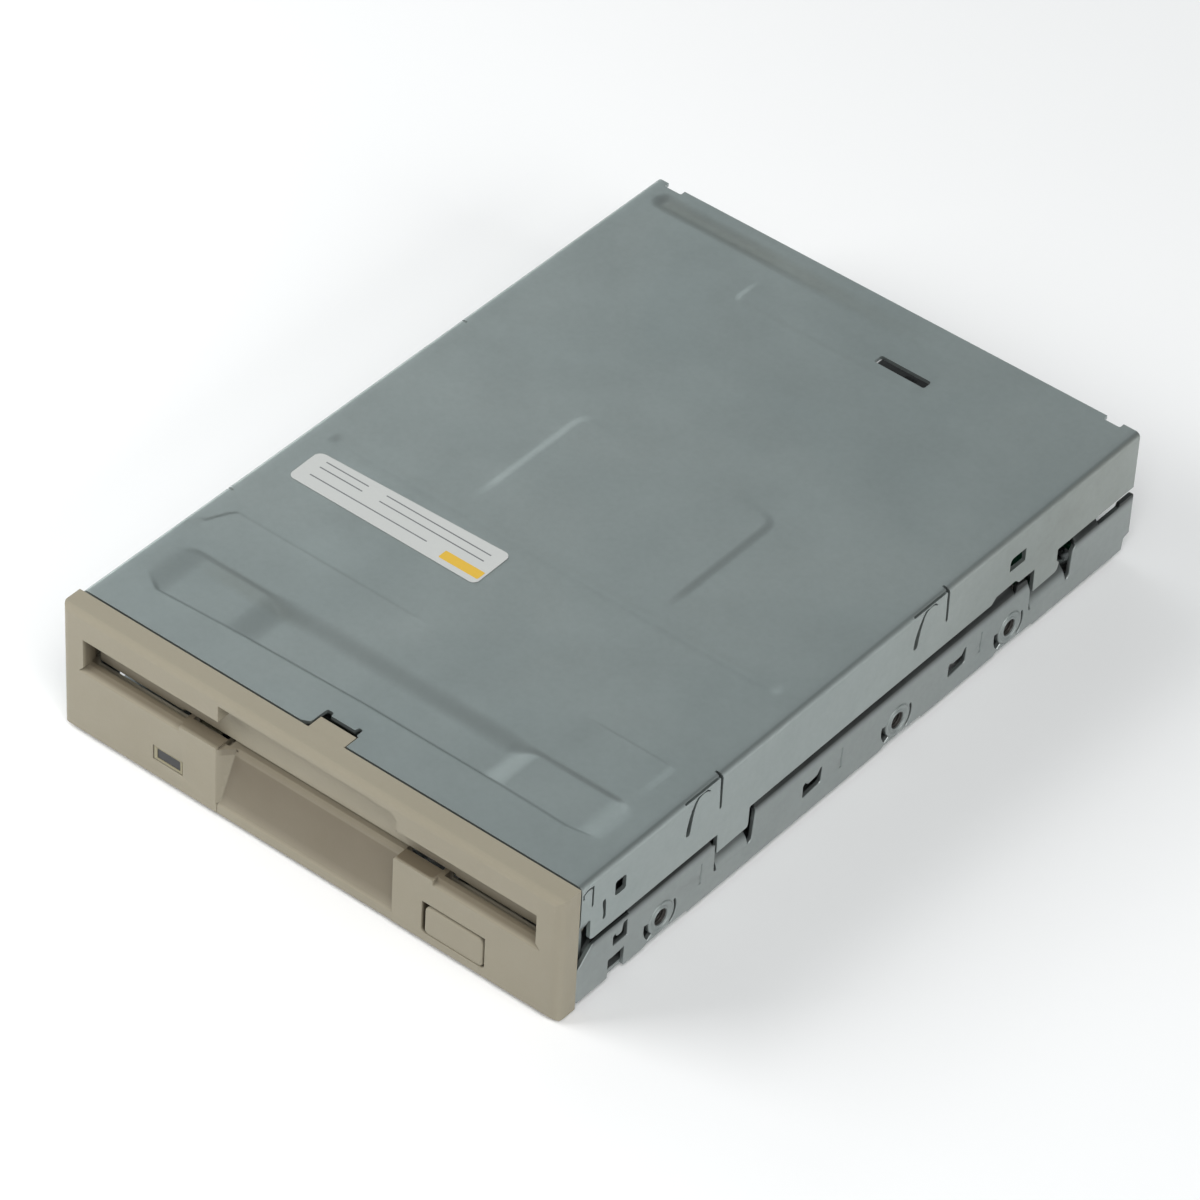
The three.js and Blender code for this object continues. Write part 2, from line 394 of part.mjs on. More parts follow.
// upper arm: drawn lowered, its group turned up about the pivot
const PIVOT_Y = 117.0, PIVOT_Z = 17.2;
const lifted = new THREE.Group();
lifted.position.set(0, PIVOT_Y, PIVOT_Z);
lifted.rotation.x = -THREE.MathUtils.degToRad(ARM_DEG);
drive.add(lifted);
const onArm = (m) => m.translate([0, -PIVOT_Y, -PIVOT_Z]);
let arm = join(
  slab('z', [[-4.6, 92.0], [4.6, 92.0], [4.6, 104.0], [5.4, 108.0], [5.4, 119.0], [-5.4, 119.0], [-5.4, 108.0], [-4.6, 104.0]], 17.0, 18.2),
  box(-1.0, 1.0, 94.0, 112.0, 18.1, 18.9), box(4.5, 8.6, 100.0, 104.0, 17.0, 18.0),
  rod('x', 1.3, -5.4, 5.4, PIVOT_Y, PIVOT_Z, 16),
);
arm = cut(arm, rod('x', 0.95, -6, 6, PIVOT_Y, PIVOT_Z, 16));
piece('upper_head_arm', onArm(arm), 'black', lifted);
piece('upper_head', onArm(join(box(-3.0, 3.0, HEAD_Y - 3.0, HEAD_Y + 3.0, 16.35, 16.95), box(-1.4, 1.4, HEAD_Y - 1.6, HEAD_Y + 1.6, 15.3, 16.4))), 'ceramic', lifted);
piece('arm_hinge_pin', rod('x', 0.75, -6.6, 6.6, PIVOT_Y, PIVOT_Z, 14), 'bright');
piece('arm_spring', coil('x', 1.0, 0.35, -4.4, 4.4, 113.3, 15.6, 6, 8), 'bright');

// ---------- guide rod and its clamps ----------
piece('guide_rod', rod('y', 1.5, 83.85, 120.7, ROD_X, ROD_Z, 16), 'bright');
for (const [name, y0, y1] of [['rod_clamp_front', 82.9, 85.6], ['rod_clamp_rear', 120.0, 122.6]]) {
  piece(name, cut(join(box(ROD_X - 2.2, ROD_X + 3.0, y0, y1, 1.8, 11.4), box(ROD_X + 2.9, ROD_X + 6.5, y0, y1, 1.8, 4.6)),
    rod('y', 1.62, y0 + (y0 < 100 ? 0.8 : -1), y1 + (y0 < 100 ? 1 : -0.8), ROD_X, ROD_Z, 14)), 'steel');
}

// ---------- track zero sensor: a fork that the carriage's flag enters ----------
piece('track_zero_sensor', cut(box(18.4, 25.0, 114.0, 120.0, 4.3, 12.6), box(18, 21.6, 113, 121, 7.4, 10.4)), 'black');

// ---------- disk sensing switches ----------
piece('switch_block_left', cut(box(-42.6, -32.6, 20.0, 27.0, 1.8, 10.6), rod('z', 1.3, 6, 12, -38.0, 23.5, 14)), 'black');
piece('switch_block_right', cut(box(31.0, 42.6, 20.0, 27.0, 1.8, 10.6), rod('z', 1.3, 6, 12, 39.8, 23.5, 14), rod('z', 1.3, 6, 12, 34.2, 23.5, 14)), 'black');
for (const [name, x] of [['density_plunger', -38.0], ['protect_plunger', 39.8], ['disk_in_plunger', 34.2]]) {
  piece(name, join(rod('z', 1.0, 7.6, 14.1, x, 23.5, 14), rod('z', 1.0, 14.1, 14.5, x, 23.5, 14, 0.6)), 'nylon');
}

// ---------- main board and what stands on it ----------
const BZ = 2.8, BT = 4.4;
let board = slab('z', [[-48.5, 111.5], [-25.5, 111.5], [-25.5, 139.2], [-4.8, 139.2], [-4.8, 120.6], [7.6, 120.6], [7.6, 123.6], [21.0, 123.6], [21.0, 120.6], [27.0, 120.6], [27.0, 111.5], [41.0, 111.5],
  [41.0, 119.4], [48.5, 119.4], [48.5, 146.0], [-48.5, 146.0], [-48.5, 119.4], [-41.0, 119.4], [-41.0, 111.5]].filter(([x, y], i) => !(i === 0)), BZ, BT);
const boardScrews = [[-44.5, 128.0], [46.2, 134.0]];
for (const [x, y] of boardScrews) board = cut(board, rod('z', 1.6, 2, 6, x, y, 14));
piece('main_board', board, 'board');
boardScrews.forEach(([x, y], i) => piece(`board_screw_${i + 1}`, cut(join(rod('z', 2.7, BT + 0.03, BT + 1.6, x, y, 18), rod('z', 1.25, 1.85, BT + 0.1, x, y, 14)),
  box(x - 1.7, x + 1.7, y - 0.3, y + 0.3, BT + 0.8, BT + 2), box(x - 0.3, x + 0.3, y - 1.7, y + 1.7, BT + 0.8, BT + 2)), 'bright'));
[[-30.5, 30.5], [30.5, 30.5], [-30.5, 79.0]].forEach(([x, y], i) => piece(`motor_screw_${i + 1}`, cut(join(rod('z', 2.6, 3.03, 4.4, x, y, 18), rod('z', 1.2, 1.75, 3.1, x, y, 14)),
  box(x - 1.7, x + 1.7, y - 0.3, y + 0.3, 3.7, 5), box(x - 0.3, x + 0.3, y - 1.7, y + 1.7, 3.7, 5)), 'bright'));
piece('stepper_screw', cut(join(rod('z', 2.4, 2.63, 4.0, -22.5, 115.5, 18), rod('z', 1.2, 1.75, 2.7, -22.5, 115.5, 14)), box(-24.2, -20.8, 115.2, 115.8, 3.4, 5), box(-22.8, -22.2, 113.8, 117.2, 3.4, 5)), 'bright');

function chip(x0, x1, y0, y1, z0, h, legs) {
  let c = box(x0, x1, y0, y1, z0 + 0.2, z0 + h);
  for (let i = 0; i < legs; i++) {
    const t = (i + 0.5) / legs;
    const x = x0 + (x1 - x0) * (0.06 + 0.88 * t), y = y0 + (y1 - y0) * (0.06 + 0.88 * t);
    c = join(c, box(x - 0.22, x + 0.22, y0 - 1.0, y0 + 0.2, z0 + 0.03, z0 + 0.6), box(x - 0.22, x + 0.22, y1 - 0.2, y1 + 1.0, z0 + 0.03, z0 + 0.6),
      box(x0 - 1.0, x0 + 0.2, y - 0.22, y + 0.22, z0 + 0.03, z0 + 0.6), box(x1 - 0.2, x1 + 1.0, y - 0.22, y + 0.22, z0 + 0.03, z0 + 0.6));
  }
  return c;
}
piece('controller_chip', chip(28.0, 39.0, 124.0, 135.0, BT, 2.2, 7), 'black');
piece('driver_chip', chip(-39.0, -31.0, 122.0, 130.0, BT, 2.0, 5), 'black');
piece('board_capacitor', join(rod('z', 2.6, BT + 0.8, BT + 6.2, 12.0, 132.0, 20), box(9.2, 14.8, 129.2, 134.8, BT + 0.02, BT + 0.9)), 'alu');

// data connector: open box with a key slot; the pins stand on one strip inside it
let data = cut(box(-1.0, 45.0, 139.6, 148.6, BT + 0.03, 12.9), box(0.2, 43.8, 141.0, 150, 5.6, 11.8), box(19.8, 24.0, 140.8, 150, 11.5, 14));
piece('data_connector', data, 'black');
let pins = box(0.9, 43.1, 141.05, 142.2, 6.4, 11.0);
for (let i = 0; i < 17; i++) for (let j = 0; j < 2; j++) {
  const x = 22 + (i - 8) * 2.54, z = 7.43 + j * 2.54;
  if (i === 1 && j === 0) continue;
  pins = pins.add(box(x - 0.32, x + 0.32, 142.1, 148.0, z - 0.32, z + 0.32));
}
piece('data_pins', pins, 'bronze');
let power = cut(box(-31.0, -18.6, 139.8, 148.2, BT + 0.03, 11.4), box(-30.0, -19.6, 141.2, 150, 6.4, 10.4), box(-27.6, -22.0, 141.2, 150, 5.2, 6.8));
piece('power_connector', power, 'nylon');
let powerPins = box(-29.6, -20.0, 141.25, 142.4, 7.4, 9.6);
for (let i = 0; i < 4; i++) powerPins = powerPins.add(box(-28.88 + i * 2.5, -28.22 + i * 2.5, 142.3, 147.4, 8.1, 8.76));
piece('power_pins', powerPins, 'bright');
// flat cables: motor board to main board, and heads to main board in a loop
piece('motor_flex_cable', slab('x', [[77.0, 3.05], [106.0, 3.05], [108.4, 3.4], [110.4, 4.45], [116.0, 4.45], [116.0, 4.6], [110.3, 4.6], [108.2, 3.56], [105.9, 3.2], [77.0, 3.2]], 27.6, 32.4), 'flex');
// strip of even thickness along a line of (y, z) points
function strip(line, t) {
  const up = [], down = [];
  line.forEach(([y, z], i) => {
    const p = line[Math.max(0, i - 1)], q = line[Math.min(line.length - 1, i + 1)];
    const l = Math.hypot(q[0] - p[0], q[1] - p[1]);
    const ny = -(q[1] - p[1]) / l * t / 2, nz = (q[0] - p[0]) / l * t / 2;
    up.push([y + ny, z + nz]);
    down.unshift([y - ny, z - nz]);
  });
  return [...up, ...down];
}
piece('flex_connector', box(-6.5, 4.6, 124.9, 128.6, BT + 0.03, BT + 2.0), 'white');
piece('head_flex_cable', slab('x', strip([[119.05, 13.4], [124.0, 13.9], [130.5, 14.2], [133.4, 13.2], [135.0, 10.8], [135.0, 8.2], [133.4, 6.0], [131.2, 5.4], [128.7, 5.4]], 0.16), -4.0, 4.0), 'flex');

const part = new THREE.Group();
part.name = 'floppy_disk_drive';
part.add(drive);

export default part;
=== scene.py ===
import bpy, bmesh, math, json
import numpy as np
from mathutils import Vector, Matrix
from mathutils.geometry import tessellate_polygon


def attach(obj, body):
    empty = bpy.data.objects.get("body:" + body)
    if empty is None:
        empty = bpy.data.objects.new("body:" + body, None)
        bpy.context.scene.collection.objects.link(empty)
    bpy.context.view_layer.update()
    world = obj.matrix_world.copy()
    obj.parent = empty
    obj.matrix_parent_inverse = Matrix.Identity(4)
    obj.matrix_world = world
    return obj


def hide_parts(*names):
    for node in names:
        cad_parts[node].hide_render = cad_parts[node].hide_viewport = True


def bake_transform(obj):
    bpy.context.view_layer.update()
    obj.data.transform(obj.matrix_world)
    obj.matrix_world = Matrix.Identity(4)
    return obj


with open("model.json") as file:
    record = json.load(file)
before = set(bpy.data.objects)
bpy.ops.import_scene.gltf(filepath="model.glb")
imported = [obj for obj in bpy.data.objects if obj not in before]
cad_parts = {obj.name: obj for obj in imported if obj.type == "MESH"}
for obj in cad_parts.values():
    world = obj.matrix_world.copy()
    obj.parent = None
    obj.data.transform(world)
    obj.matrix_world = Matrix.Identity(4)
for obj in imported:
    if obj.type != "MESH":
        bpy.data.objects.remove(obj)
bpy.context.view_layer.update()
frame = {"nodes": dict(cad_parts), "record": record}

# Floppy disk drive. Drawing coordinates: mm, X right, Y from the bezel's face to the rear, Z up.
MM = 0.001
YC = 74.4
NODES = frame["nodes"]
scene = bpy.context.scene


def P(x, y, z):
    return Vector((x * MM, (y - YC) * MM, z * MM))


# ---------------------------------------------------------------- camera
az, el, roll, dist = math.radians(37.105), math.radians(41.236), math.radians(3.317), 983.931
back = Vector((math.sin(az) * math.cos(el), -math.cos(az) * math.cos(el), math.sin(el)))
right = Vector((math.cos(az), math.sin(az), 0))
up = back.cross(right)
right2 = right * math.cos(roll) + up * math.sin(roll)
up2 = up * math.cos(roll) - right * math.sin(roll)
cam_data = bpy.data.cameras.new("camera")
cam = bpy.data.objects.new("camera", cam_data)
scene.collection.objects.link(cam)
eye = Vector((0, 72 - YC, 12.7)) + back * dist + right2 * -0.109 + up2 * -2.792
cam.matrix_world = Matrix.Translation(eye * MM) @ Matrix((right2, up2, back)).transposed().to_4x4()
cam_data.sensor_width = 36
cam_data.lens = 183.83
cam_data.clip_start, cam_data.clip_end = 0.05, 20
scene.camera = cam
scene.view_settings.view_transform = "Standard"
scene.view_settings.look = "None"


# ---------------------------------------------------------------- lights, floor
world = bpy.data.worlds.new("studio")
scene.world = world
world.use_nodes = True
wn, wl = world.node_tree.nodes, world.node_tree.links
wn.clear()
w_out = wn.new("ShaderNodeOutputWorld")
w_bg = wn.new("ShaderNodeBackground")
w_co = wn.new("ShaderNodeTexCoord")


def world_math(op, a, b):
    n = wn.new("ShaderNodeVectorMath" if op == "DOT_PRODUCT" else "ShaderNodeMath")
    n.operation = op
    for s, v in zip(n.inputs, (a, b)):
        if hasattr(v, "is_output"):
            wl.new(v, s)
        else:
            s.default_value = v
    return n.outputs["Value"]


# dim tent, with one broad bright field at the rear left
sep = wn.new("ShaderNodeSeparateXYZ")
wl.new(w_co.outputs["Generated"], sep.inputs[0])


def world_range(value, a, b, to_a, to_b, kind="LINEAR"):
    n = wn.new("ShaderNodeMapRange")
    n.interpolation_type = kind
    for i, v in enumerate((a, b, to_a, to_b)):
        n.inputs[i + 1].default_value = v
    wl.new(value, n.inputs[0])
    return n.outputs[0]


toward = world_math("DOT_PRODUCT", w_co.outputs["Generated"], (-0.85, 0.42, 0.0))
tent = world_math("MULTIPLY", world_range(sep.outputs["Z"], 0.05, 0.85, 0.30, 0.14), world_range(toward, -0.9, 0.9, 0.55, 1.1))
field = world_range(world_math("DOT_PRODUCT", w_co.outputs["Generated"], (-0.700, 0.480, 0.530)), 0.85, 1.0, 0.0, 0.63, "SMOOTHSTEP")
level = world_math("ADD", tent, field)
comb = wn.new("ShaderNodeCombineColor")
for i, k in enumerate((0.925, 1.0, 1.02)):
    wl.new(world_math("MULTIPLY", level, k), comb.inputs[i])
wl.new(comb.outputs[0], w_bg.inputs["Color"])
w_bg.inputs["Strength"].default_value = 1.0
wl.new(w_bg.outputs[0], w_out.inputs[0])


def area(name, loc, target, size, power, colour=(1, 1, 1)):
    d = bpy.data.lights.new(name, "AREA")
    d.shape = "RECTANGLE"
    d.size, d.size_y = size
    d.energy = power
    d.color = colour
    o = bpy.data.objects.new(name, d)
    scene.collection.objects.link(o)
    o.location = loc
    o.rotation_mode = "QUATERNION"
    o.rotation_quaternion = (Vector(target) - Vector(loc)).to_track_quat("-Z", "Y")
    return o


front = area("front_softbox", (-0.44, -0.36, 0.37), (0, -0.03, 0.01), (0.42, 0.30), 2.95)
area("right_softbox", (1.75, -0.25, 0.85), (0.1, 0, 0), (1.2, 0.7), 14.5)
high = area("top_softbox", (0.80, -0.85, 1.65), (0, 0, 0), (1.1, 1.1), 21.0)
area("left_softbox", (-1.6, 0.4, 0.55), (0, 0, 0), (1.2, 0.6), 7.0)
front.visible_glossy = high.visible_glossy = False     # these two fill the plastic, without a glare on the sheet


# ---------------------------------------------------------------- materials
class Nodes:
    """Small helper that writes a node tree line by line."""

    def __init__(self, name):
        self.mat = bpy.data.materials.new(name)
        self.mat.use_nodes = True
        self.n, self.l = self.mat.node_tree.nodes, self.mat.node_tree.links
        self.n.clear()
        self.out = self.n.new("ShaderNodeOutputMaterial")
        self.p = self.n.new("ShaderNodeBsdfPrincipled")
        self.l.new(self.p.outputs[0], self.out.inputs[0])
        self.co = self.n.new("ShaderNodeTexCoord").outputs["Object"]

    def scaled(self, s, rot=(0, 0, 0)):
        m = self.n.new("ShaderNodeMapping")
        m.inputs["Scale"].default_value = s
        m.inputs["Rotation"].default_value = rot
        self.l.new(self.co, m.inputs["Vector"])
        return m.outputs[0]

    def noise(self, scale, detail=3.0, rough=0.5, co=None, distortion=0.0):
        t = self.n.new("ShaderNodeTexNoise")
        t.inputs["Scale"].default_value = scale
        t.inputs["Detail"].default_value = detail
        t.inputs["Roughness"].default_value = rough
        t.inputs["Distortion"].default_value = distortion
        self.l.new(co or self.co, t.inputs["Vector"])
        return t.outputs["Fac"]

    def voronoi(self, scale, co=None, feature="F1", out="Distance"):
        t = self.n.new("ShaderNodeTexVoronoi")
        t.feature = feature
        t.inputs["Scale"].default_value = scale
        self.l.new(co or self.co, t.inputs["Vector"])
        return t.outputs[out]

    def span(self, value, a, b, to_a=0.0, to_b=1.0):
        m = self.n.new("ShaderNodeMapRange")
        m.inputs["From Min"].default_value, m.inputs["From Max"].default_value = a, b
        m.inputs["To Min"].default_value, m.inputs["To Max"].default_value = to_a, to_b
        self.l.new(value, m.inputs["Value"])
        return m.outputs[0]

    def math(self, op, a, b=None):
        m = self.n.new("ShaderNodeMath")
        m.operation = op
        for s, v in zip(m.inputs, (a, b)):
            if v is None:
                continue
            if hasattr(v, "is_output"):
                self.l.new(v, s)
            else:
                s.default_value = v
        return m.outputs[0]

    def mix(self, fac, a, b, blend="MIX"):
        m = self.n.new("ShaderNodeMix")
        m.data_type = "RGBA"
        m.blend_type = blend
        for s, v in zip((m.inputs[0], m.inputs[6], m.inputs[7]), (fac, a, b)):
            if hasattr(v, "is_output"):
                self.l.new(v, s)
            elif isinstance(v, (int, float)):
                s.default_value = v
            else:
                s.default_value = (*v, 1.0)
        return m.outputs[2]

    def put(self, socket, value):
        s = self.p.inputs[socket]
        if hasattr(value, "is_output"):
            self.l.new(value, s)
        else:
            s.default_value = (*value, 1.0) if isinstance(value, tuple) and len(value) == 3 else value

    def bump(self, height, dist, strength=1.0, base=None):
        b = self.n.new("ShaderNodeBump")
        b.inputs["Distance"].default_value = dist
        b.inputs["Strength"].default_value = strength
        self.l.new(height, b.inputs["Height"])
        if base is not None:
            self.l.new(base, b.inputs["Normal"])
        return b.outputs[0]


def zinc_steel(name, a, b, rough=(0.38, 0.5), metal=0.82, streak=(1, 1, 1), bump=0.00002, shade_mask=None, shade_colour=None):
    m = Nodes(name)
    blotch = m.span(m.noise(21, 4, 0.55, distortion=0.6), 0.32, 0.68)
    colour = m.mix(blotch, a, b)
    fine = m.span(m.noise(900, 2, 0.6, co=m.scaled(streak)), 0.3, 0.7)
    colour = m.mix(m.math("MULTIPLY", fine, 0.10), colour, tuple(c * 0.72 for c in a))
    smudge = m.span(m.noise(46, 5, 0.62), 0.56, 0.74)
    colour = m.mix(m.math("MULTIPLY", smudge, 0.16), colour, tuple(min(1, c * 1.35) for c in b))
    # painted shade: the mask darkens the colour towards the shade colour where shade would fall
    if shade_mask:
        colour = m.mix(shade_mask(m), colour, shade_colour or tuple(c * 0.07 for c in a))
    m.put("Base Color", colour)
    m.put("Metallic", metal)
    r = m.math("ADD", m.span(m.noise(70, 4, 0.6), 0.3, 0.7, rough[0], rough[1]), m.math("MULTIPLY", fine, 0.05))
    m.put("Roughness", r)
    n1 = m.bump(m.noise(55, 2, 0.4), bump * 3)
    m.put("Normal", m.bump(m.noise(1500, 2, 0.5), bump * 0.18, base=n1))
    return m.mat


def moulded(name, a, b, rough=0.55, grain=2600, bump=0.000012, coat=0.0, shade_mask=None):
    m = Nodes(name)
    cloud = m.span(m.noise(30, 4, 0.55), 0.32, 0.7)
    colour = m.mix(cloud, a, b)
    speck = m.span(m.noise(1400, 2, 0.6), 0.35, 0.65)
    colour = m.mix(m.math("MULTIPLY", speck, 0.07), colour, tuple(c * 0.8 for c in a))
    # painted shade: the mask darkens the beige where shade would fall
    if shade_mask:
        colour = m.mix(shade_mask(m), colour, tuple(c * k for c, k in zip(a, (0.42, 0.38, 0.34))))
    m.put("Base Color", colour)
    m.put("Roughness", m.span(m.noise(160, 3, 0.6), 0.3, 0.7, rough - 0.05, rough + 0.06))
    m.p.inputs["Specular IOR Level"].default_value = 0.35
    m.p.inputs["Coat Weight"].default_value = coat
    n1 = m.bump(m.voronoi(grain), bump)
    m.put("Normal", m.bump(m.noise(grain * 0.6, 2, 0.5), bump * 0.8, base=n1))
    return m.mat


def painted_shade_in_recess(m):
    """Painted shade where the front is deep: finger recess, slot mouth, button and lamp openings."""
    sep = m.n.new("ShaderNodeSeparateXYZ")
    m.l.new(m.co, sep.inputs[0])
    x, y, z = sep.outputs
    ax = m.math("ABSOLUTE", x)
    deep = m.span(y, 0.00018 - 0.0744, 0.0008 - 0.0744)
    inner = m.span(ax, 0.0179, 0.0183, 1, 0)
    facet = m.span(m.math("SUBTRACT", m.math("MULTIPLY", m.math("ADD", x, 0.01825), 1 / 0.92), m.math("ADD", y, 0.0744)), 0.00008, 0.0004, 0.15, 1)
    recess = m.math("MULTIPLY", m.math("MULTIPLY", m.math("MULTIPLY", inner, facet), m.span(z, 0.0129, 0.01315, 1, 0)), m.span(z, 0.003, 0.012, 0.62, 0.82))
    mouth = m.math("MULTIPLY", m.math("MULTIPLY", m.math("SUBTRACT", 1.0, inner), m.span(ax, 0.0480, 0.0487, 1, 0)), m.span(z, 0.0197, 0.0204, 1, 0))
    mouth = m.math("MULTIPLY", mouth, m.span(y, 0.0012 - 0.0744, 0.0030 - 0.0744, 0.78, 1.0))
    mouth = m.math("MULTIPLY", mouth, m.span(y, 0.0034 - 0.0744, 0.0042 - 0.0744, 1.0, 0.10))
    ledge = m.math("MULTIPLY", m.math("MULTIPLY", inner, m.span(z, 0.0129, 0.01315, 0, 0.55)), m.span(z, 0.0150, 0.0153, 1, 0))
    step = m.math("MULTIPLY", m.math("MULTIPLY", m.span(x, 0.0180, 0.0186), m.span(x, 0.0256, 0.0249)), m.math("MULTIPLY", m.span(z, 0.0137, 0.0145, 0, 0.75), m.span(z, 0.0150, 0.0153, 1, 0)))
    gap = m.math("MULTIPLY", m.math("MULTIPLY", m.span(x, 0.0236, 0.0239), m.span(x, 0.0368, 0.0365)), m.math("MULTIPLY", m.span(z, 0.0024, 0.0027), m.span(z, 0.0095, 0.0092)))
    ledge = m.math("MAXIMUM", ledge, m.math("MAXIMUM", step, gap))
    patch = m.span(m.noise(60, 4, 0.6), 0.3, 0.7, 0.92, 1.05)
    return m.math("MULTIPLY", m.math("MULTIPLY", deep, patch), m.math("ADD", m.math("ADD", recess, ledge), mouth))


def painted_shade_on_flap(m):
    """Painted shade: the flap is darker towards its lower edge, outside the finger relief."""
    sep = m.n.new("ShaderNodeSeparateXYZ")
    m.l.new(m.co, sep.inputs[0])
    x, y, z = sep.outputs
    low = m.span(z, 0.0190, 0.0150)
    outer = m.span(m.math("ABSOLUTE", x), 0.0175, 0.0205)
    patch = m.span(m.noise(60, 4, 0.6), 0.3, 0.7, 0.62, 0.82)
    face = m.span(y, 0.0036 - 0.0744, 0.0042 - 0.0744, 1.0, 0.10)
    return m.math("MULTIPLY", m.math("MULTIPLY", m.math("MULTIPLY", low, outer), patch), face)


def painted_shade_under_rim(m):
    """Painted shade on the frame's upper rim, under the edge of the cover, and on the inward curl of the rolled lips.
    """
    sep = m.n.new("ShaderNodeSeparateXYZ")
    m.l.new(m.co, sep.inputs[0])
    x, y, z = sep.outputs
    ax = m.math("ABSOLUTE", x)
    rim = m.span(z, 0.0099, 0.0117)
    rim = m.math("MULTIPLY", m.math("MULTIPLY", rim, rim), m.span(ax, 0.0486, 0.0489))
    rim = m.math("MAXIMUM", rim, m.math("MULTIPLY", m.math("MULTIPLY", m.span(ax, 0.05035, 0.0500), m.span(ax, 0.0486, 0.0489)), m.span(z, 0.0108, 0.0113)))
    lip = m.math("MULTIPLY", m.span(ax, 0.0505, 0.0499, 0, 0.55), m.math("MULTIPLY", m.span(z, 0.0050, 0.0056), m.span(z, 0.0092, 0.0086)))
    rim = m.math("MAXIMUM", rim, m.math("MULTIPLY", lip, m.span(ax, 0.0480, 0.0484)))
    return m.math("MULTIPLY", rim, m.span(m.noise(90, 4, 0.6), 0.3, 0.7, 0.92, 1.0))


def painted_shade_on_cover(m):
    """Painted shade, tinted a faint brown: in the long groove at the rear left, at the lead edge of the front band and
    towards the rear of the side flanges.
    """
    sep = m.n.new("ShaderNodeSeparateXYZ")
    m.l.new(m.co, sep.inputs[0])
    x, y, z = sep.outputs
    off = m.math("ABSOLUTE", m.math("SUBTRACT", y, 0.1437 - 0.0744))
    groove = m.math("MULTIPLY", m.span(off, 0.0026, 0.0008), m.math("MULTIPLY", m.span(x, -0.0470, -0.0445), m.span(x, -0.026, 0.012, 1, 0)))
    lead = m.math("MULTIPLY", m.span(m.math("ABSOLUTE", m.math("SUBTRACT", y, 0.0222 - 0.0744)), 0.0022, 0.0006, 0, 0.5), m.math("MULTIPLY", m.span(x, -0.043, -0.036), m.span(x, -0.024, -0.018, 1, 0)))
    flange = m.math("MULTIPLY", m.span(m.math("ABSOLUTE", x), 0.0499, 0.0503), m.span(y, 0.0, 0.0620, 0.05, 0.88))
    return m.math("MULTIPLY", m.math("MAXIMUM", m.math("MAXIMUM", groove, lead), flange), m.span(m.noise(70, 4, 0.6), 0.3, 0.7, 0.30, 0.48))


